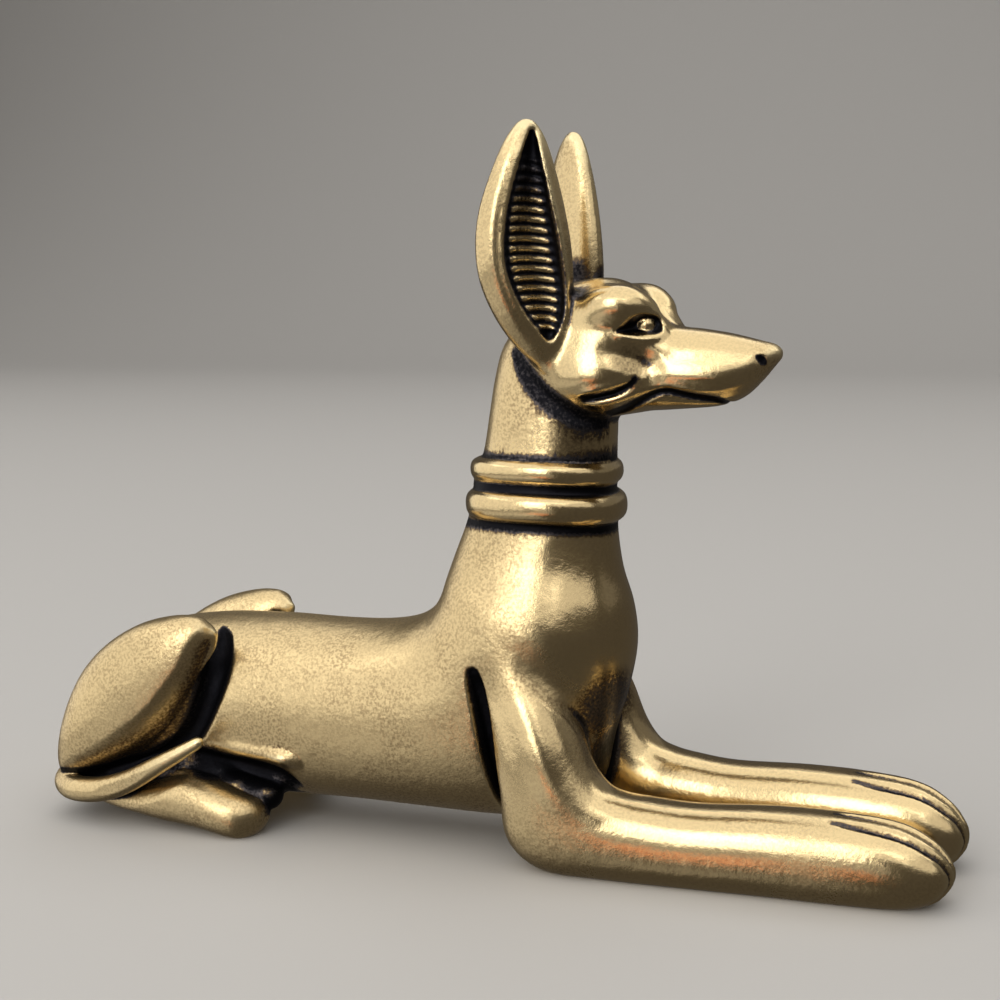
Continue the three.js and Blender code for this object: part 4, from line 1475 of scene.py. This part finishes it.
class Sheet:
    """Nodes of one material, laid and linked by short calls."""

    def __init__(self, name: str) -> None:
        """Empty material with its output node.

        Args:
            name: the material's name.
        """
        self.material = bpy.data.materials.new(name)
        self.material.use_nodes = True
        self.tree = self.material.node_tree
        self.tree.nodes.clear()
        self.output = self.node("ShaderNodeOutputMaterial")

    def node(self, kind: str, inputs: dict | None = None, **settings: object) -> bpy.types.Node:
        """Adds a node.

        Args:
            kind: the node's type.
            inputs: values or sockets by the input's name or number.
            settings: the node's own settings.

        Returns:
            The node.
        """
        made = self.tree.nodes.new(kind)
        for name, value in settings.items():
            setattr(made, name, value)
        for name, value in (inputs or {}).items():
            if isinstance(value, bpy.types.NodeSocket):
                self.tree.links.new(value, made.inputs[name])
            else:
                made.inputs[name].default_value = value
        return made

    def attribute(self, name: str) -> bpy.types.NodeSocket:
        """Value of an attribute of the mesh."""
        return self.node("ShaderNodeAttribute", attribute_name=name).outputs["Fac"]

    def noise(self, scale: float, detail: float, rough: float) -> bpy.types.NodeSocket:
        """Noise on object coordinates.

        Args:
            scale: steps to the metre.
            detail: number of finer layers.
            rough: strength of each finer layer.

        Returns:
            The noise's socket.
        """
        place = self.node("ShaderNodeTexCoord").outputs["Object"]
        inputs = {"Vector": place, "Scale": scale, "Detail": detail, "Roughness": rough}
        return self.node("ShaderNodeTexNoise", inputs).outputs["Fac"]

    def ramp(self, value: bpy.types.NodeSocket, low: float, high: float, floor: float = 0.0,
             ceiling: float = 1.0) -> bpy.types.NodeSocket:
        """Smooth step of a value from low to high, which runs from floor to ceiling."""
        inputs = {"Value": value, "From Min": low, "From Max": high, "To Min": floor, "To Max": ceiling}
        return self.node("ShaderNodeMapRange", inputs, interpolation_type="SMOOTHSTEP").outputs[0]

    def math(self, operation: str, a: object, b: object = 0.0) -> bpy.types.NodeSocket:
        """Result of one sum on two values."""
        return self.node("ShaderNodeMath", {0: a, 1: b}, operation=operation).outputs[0]

    def blend(self, share: object, a: object, b: object) -> bpy.types.NodeSocket:
        """Colour between a and b by the share of b, on the mix node's three colour inputs."""
        return self.node("ShaderNodeMix", {0: share, 6: a, 7: b}, data_type="RGBA").outputs[2]


@dataclass(frozen=True)
class BrassFinish:
    """Antiqued cast brass: golden on high spots, mottled brown on flanks, blue-black in hollows, dark
    in painted shade.

    Noises are scale, detail, roughness. The other tuples are what a smooth step runs over, and
    the values that it starts and ends with where they aren't 0 and 1.
    """

    gold: tuple = (0.74, 0.575, 0.31, 1)
    pale: tuple = (0.90, 0.75, 0.44, 1)
    brown: tuple = (0.41, 0.3, 0.16, 1)
    umber: tuple = (0.17, 0.115, 0.06, 1)
    slate: tuple = (0.085, 0.076, 0.078, 1)
    black: tuple = (0.012, 0.012, 0.015, 1)
    speckle: tuple = (6800, 3, 0.6)
    cloud: tuple = (420, 3, 0.5)
    grain: tuple = (7000, 4, 0.6)
    swell: tuple = (1300, 4, 0.6)
    swell_share: float = 4.0
    speckled: tuple = (0.42, 0.62)
    clouded: tuple = (0.3, 0.7, 0.35, 0.9)
    worn: tuple = (0, 1, 1.0, 0.25)
    fine_hollow: tuple = (0.06, 0.3)
    middle_hollow: tuple = (0.07, 0.3)
    broad_hollow: tuple = (0.12, 0.42)
    stirred: tuple = (0.0, 0.4)
    rubbed_edge: tuple = (-0.08, -0.4, 0.0, 0.6)
    pale_edge: tuple = (-0.2, -0.45)
    umber_depth: tuple = (0.02, 0.35)
    slate_depth: tuple = (0.25, 0.5)
    black_depth: tuple = (0.4, 0.85)
    polish_rough: tuple = (0, 1, 0.3, 0.19)
    mottle_rough: tuple = (0, 1, 0.0, 0.12)
    deep_rough: tuple = (0, 1, 0.0, 0.25)
    bump_strength: tuple = (0, 1, 0.4, 0.2)
    bump_height: float = 0.00003

    def material(self) -> bpy.types.Material:
        """Builds the material from the hollow measures and noise on object coordinates.

        Returns:
            The material.
        """
        sheet = Sheet("brass")
        speckle, cloud = sheet.noise(*self.speckle), sheet.noise(*self.cloud)
        polish, middle = sheet.attribute("polish"), sheet.attribute("middle")
        spots, clouds = sheet.ramp(speckle, *self.speckled), sheet.ramp(cloud, *self.clouded)
        mottle = sheet.math("MULTIPLY", spots, clouds)
        mottle = sheet.math("MULTIPLY", mottle, sheet.ramp(polish, *self.worn))
        deep = self.depth(sheet, speckle, middle)
        colour = sheet.blend(mottle, self.gold, self.brown)
        colour = sheet.blend(sheet.ramp(middle, *self.pale_edge), colour, self.pale)
        # Umber, slate and black fall on patina in hollows and on painted shade alike.
        colour = sheet.blend(sheet.ramp(deep, *self.umber_depth), colour, self.umber)
        colour = sheet.blend(sheet.ramp(deep, *self.slate_depth), colour, self.slate)
        colour = sheet.blend(sheet.ramp(deep, *self.black_depth), colour, self.black)
        rough = sheet.ramp(polish, *self.polish_rough)
        rough = sheet.math("ADD", rough, sheet.ramp(mottle, *self.mottle_rough))
        rough = sheet.math("ADD", rough, sheet.ramp(deep, *self.deep_rough))
        swell = sheet.math("MULTIPLY", sheet.noise(*self.swell), self.swell_share)
        bump = sheet.node("ShaderNodeBump", {
            "Strength": sheet.ramp(polish, *self.bump_strength),
            "Distance": self.bump_height,
            "Height": sheet.math("ADD", sheet.noise(*self.grain), swell),
        })
        shader = sheet.node("ShaderNodeBsdfPrincipled", {
            "Base Color": colour, "Roughness": rough, "Metallic": 1.0, "Normal": bump.outputs[0],
        })
        sheet.tree.links.new(shader.outputs[0], sheet.output.inputs[0])
        return sheet.material

    def depth(self, sheet: Sheet, speckle: bpy.types.NodeSocket,
              middle: bpy.types.NodeSocket) -> bpy.types.NodeSocket:
        """Depth of the patina and painted shade: the greatest of the hollow measures and of the soot
        and painted shade.

        The speckles stir it where there is some, and it is rubbed off on edges.

        Args:
            sheet: the material's nodes.
            speckle: the noise of the speckles.
            middle: the middle one of the hollow measures.

        Returns:
            The depth's socket.
        """
        # The soot mask carries painted shade as well as soot.
        deep = sheet.attribute("soot_and_shade")
        for measure, span in (
            (sheet.attribute("fine"), self.fine_hollow),
            (middle, self.middle_hollow),
            (sheet.attribute("broad"), self.broad_hollow),
        ):
            deep = sheet.math("MAXIMUM", deep, sheet.ramp(measure, *span))
        stir = sheet.math("SUBTRACT", speckle, 0.5)
        stir = sheet.math("MULTIPLY", stir, sheet.ramp(deep, *self.stirred))
        deep = sheet.math("ADD", deep, stir)
        return sheet.math("SUBTRACT", deep, sheet.ramp(middle, *self.rubbed_edge))


@dataclass(frozen=True)
class Camera:
    """Camera at the photo's angle. Angles in degrees, place in millimetres, the rest as Blender has."""

    azimuth: float = 22.0
    elevation: float = 8.187
    roll: float = -1.078
    place: tuple = (34.26885, -82.01338, 31.06819)
    lens: float = 61.2
    sensor: float = 36.0
    clip: tuple = (0.005, 10.0)

    def build(self) -> None:
        """Makes the camera from its three directions and makes it the scene's own."""
        a, e, r = (np.radians(v) for v in (self.azimuth, self.elevation, self.roll))
        level = np.array([np.cos(a), np.sin(a), 0])
        ahead = np.array([-np.sin(a) * np.cos(e), np.cos(a) * np.cos(e), -np.sin(e)])
        down = np.cross(ahead, level)
        right = np.cos(r) * level - np.sin(r) * down
        down = np.sin(r) * level + np.cos(r) * down
        data = bpy.data.cameras.new("camera")
        data.lens, data.sensor_width = self.lens, self.sensor
        data.clip_start, data.clip_end = self.clip
        camera = bpy.data.objects.new("camera", data)
        axes = Matrix(np.stack([right, -down, -ahead], -1).tolist()).to_4x4()
        camera.matrix_world = Matrix.Translation(Vector(self.place) / 1000) @ axes
        bpy.context.scene.collection.objects.link(camera)
        bpy.context.scene.camera = camera


@dataclass(frozen=True)
class Lamp:
    """Soft panel of light that faces the figure.

    Its direction is in degrees, its distance, width and height in metres, and its radiance is what
    the brass mirrors.
    """

    name: str
    azimuth: float
    elevation: float
    width: float
    height: float
    radiance: float
    colour: tuple = (1.0, 0.98, 0.95)
    distance: float = 0.4
    aim: tuple = (0.0, 0.0, 0.018)

    def build(self) -> None:
        """Makes the panel and turns it to its aim; its power is radiance times area times pi."""
        a, e = np.radians(self.azimuth), np.radians(self.elevation)
        way = Vector((np.cos(e) * np.cos(a), np.cos(e) * np.sin(a), np.sin(e)))
        data = bpy.data.lights.new(self.name, "AREA")
        data.shape, data.size, data.size_y = "RECTANGLE", self.width, self.height
        data.energy = self.radiance * self.width * self.height * np.pi
        data.color = self.colour
        lamp = bpy.data.objects.new(self.name, data)
        turn = way.to_track_quat("Z", "Y").to_matrix().to_4x4()
        lamp.matrix_world = Matrix.Translation(Vector(self.aim) + way * self.distance) @ turn
        lamp.visible_camera = False
        bpy.context.scene.collection.objects.link(lamp)


@dataclass(frozen=True)
class Studio:
    """Pale floor that bends up to a wall behind the figure, and soft panels of light."""

    floor_half: float = 0.6
    bend: float = 0.25
    bend_steps: int = 17
    floor_rough: float = 0.7
    floor_colour: tuple = (0.5, 0.49, 0.475, 1)
    air_colour: tuple = (0.08, 0.073, 0.066, 1)
    lamps: tuple = (
        Lamp("ceiling", 250, 88, 0.72, 0.72, 1.15, distance=0.35),
        Lamp("left_wall", 205, 16, 0.9, 0.46, 1.0),
        Lamp("front_left", 275, 32, 0.36, 0.2, 0.8),
        Lamp("front_right", 325, 30, 0.4, 0.2, 0.75),
        Lamp("window", 262, 20, 0.14, 0.28, 2.8),
        Lamp("front_low", 268, -4, 0.16, 0.2, 0.35),
        Lamp("right_fill", 45, 28, 0.6, 0.3, 0.1),
        Lamp("right_high", 65, 48, 0.6, 0.12, 0.4),
        Lamp("left_low", 215, -28, 0.7, 0.14, 0.55),
        Lamp("left_under", 215, -48, 0.6, 0.14, 0.22),
        Lamp("warm_card", 264, -20, 0.12, 0.04, 1.1, (1.0, 0.33, 0.12)),
    )

    def build(self) -> None:
        """Lays the floor, sets the surroundings and builds the lights."""
        half, bend = self.floor_half, self.bend
        turn = np.linspace(0, TURN / 4, self.bend_steps)
        across = np.concatenate([[-half], half - bend + bend * np.sin(turn), [half]])
        height = np.concatenate([[0.0], bend - bend * np.cos(turn), [half]])
        count = len(across)
        left, right = (np.stack([np.full(count, x), across, height], -1) for x in (-2 * half, 2 * half))
        row = np.arange(count - 1)
        faces = np.stack([row, row + count, row + count + 1, row + 1], -1)
        mesh = bpy.data.meshes.new("floor")
        mesh.from_pydata(np.vstack([left, right]).tolist(), [], faces.tolist())
        mesh.polygons.foreach_set("use_smooth", np.ones(len(faces), bool))
        floor = bpy.data.objects.new("floor", mesh)
        bpy.context.scene.collection.objects.link(floor)
        floor.visible_glossy = False
        sheet = Sheet("floor")
        inputs = {"Base Color": self.floor_colour, "Roughness": self.floor_rough}
        shader = sheet.node("ShaderNodeBsdfPrincipled", inputs)
        sheet.tree.links.new(shader.outputs[0], sheet.output.inputs[0])
        mesh.materials.append(sheet.material)
        world = bpy.data.worlds.new("air")
        world.use_nodes = True
        background = world.node_tree.nodes["Background"]
        background.inputs[0].default_value = self.air_colour
        bpy.context.scene.world = world
        bpy.context.scene.view_settings.view_transform = "Standard"
        for lamp in self.lamps:
            lamp.build()


def main() -> None:
    """Builds the figure and the studio, and reports each piece."""
    logging.basicConfig(level=logging.INFO, format="%(relativeCreated)d %(message)s")
    figure = Jackal()
    piece = figure.mesh(figure.cast())
    piece.data.materials.append(BrassFinish().material())
    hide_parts("jackal_figure")
    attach(piece, "root")
    Studio().build()
    Camera().build()
    LOG.info("%s made", piece.name)


if __name__ == "__main__":
    main()
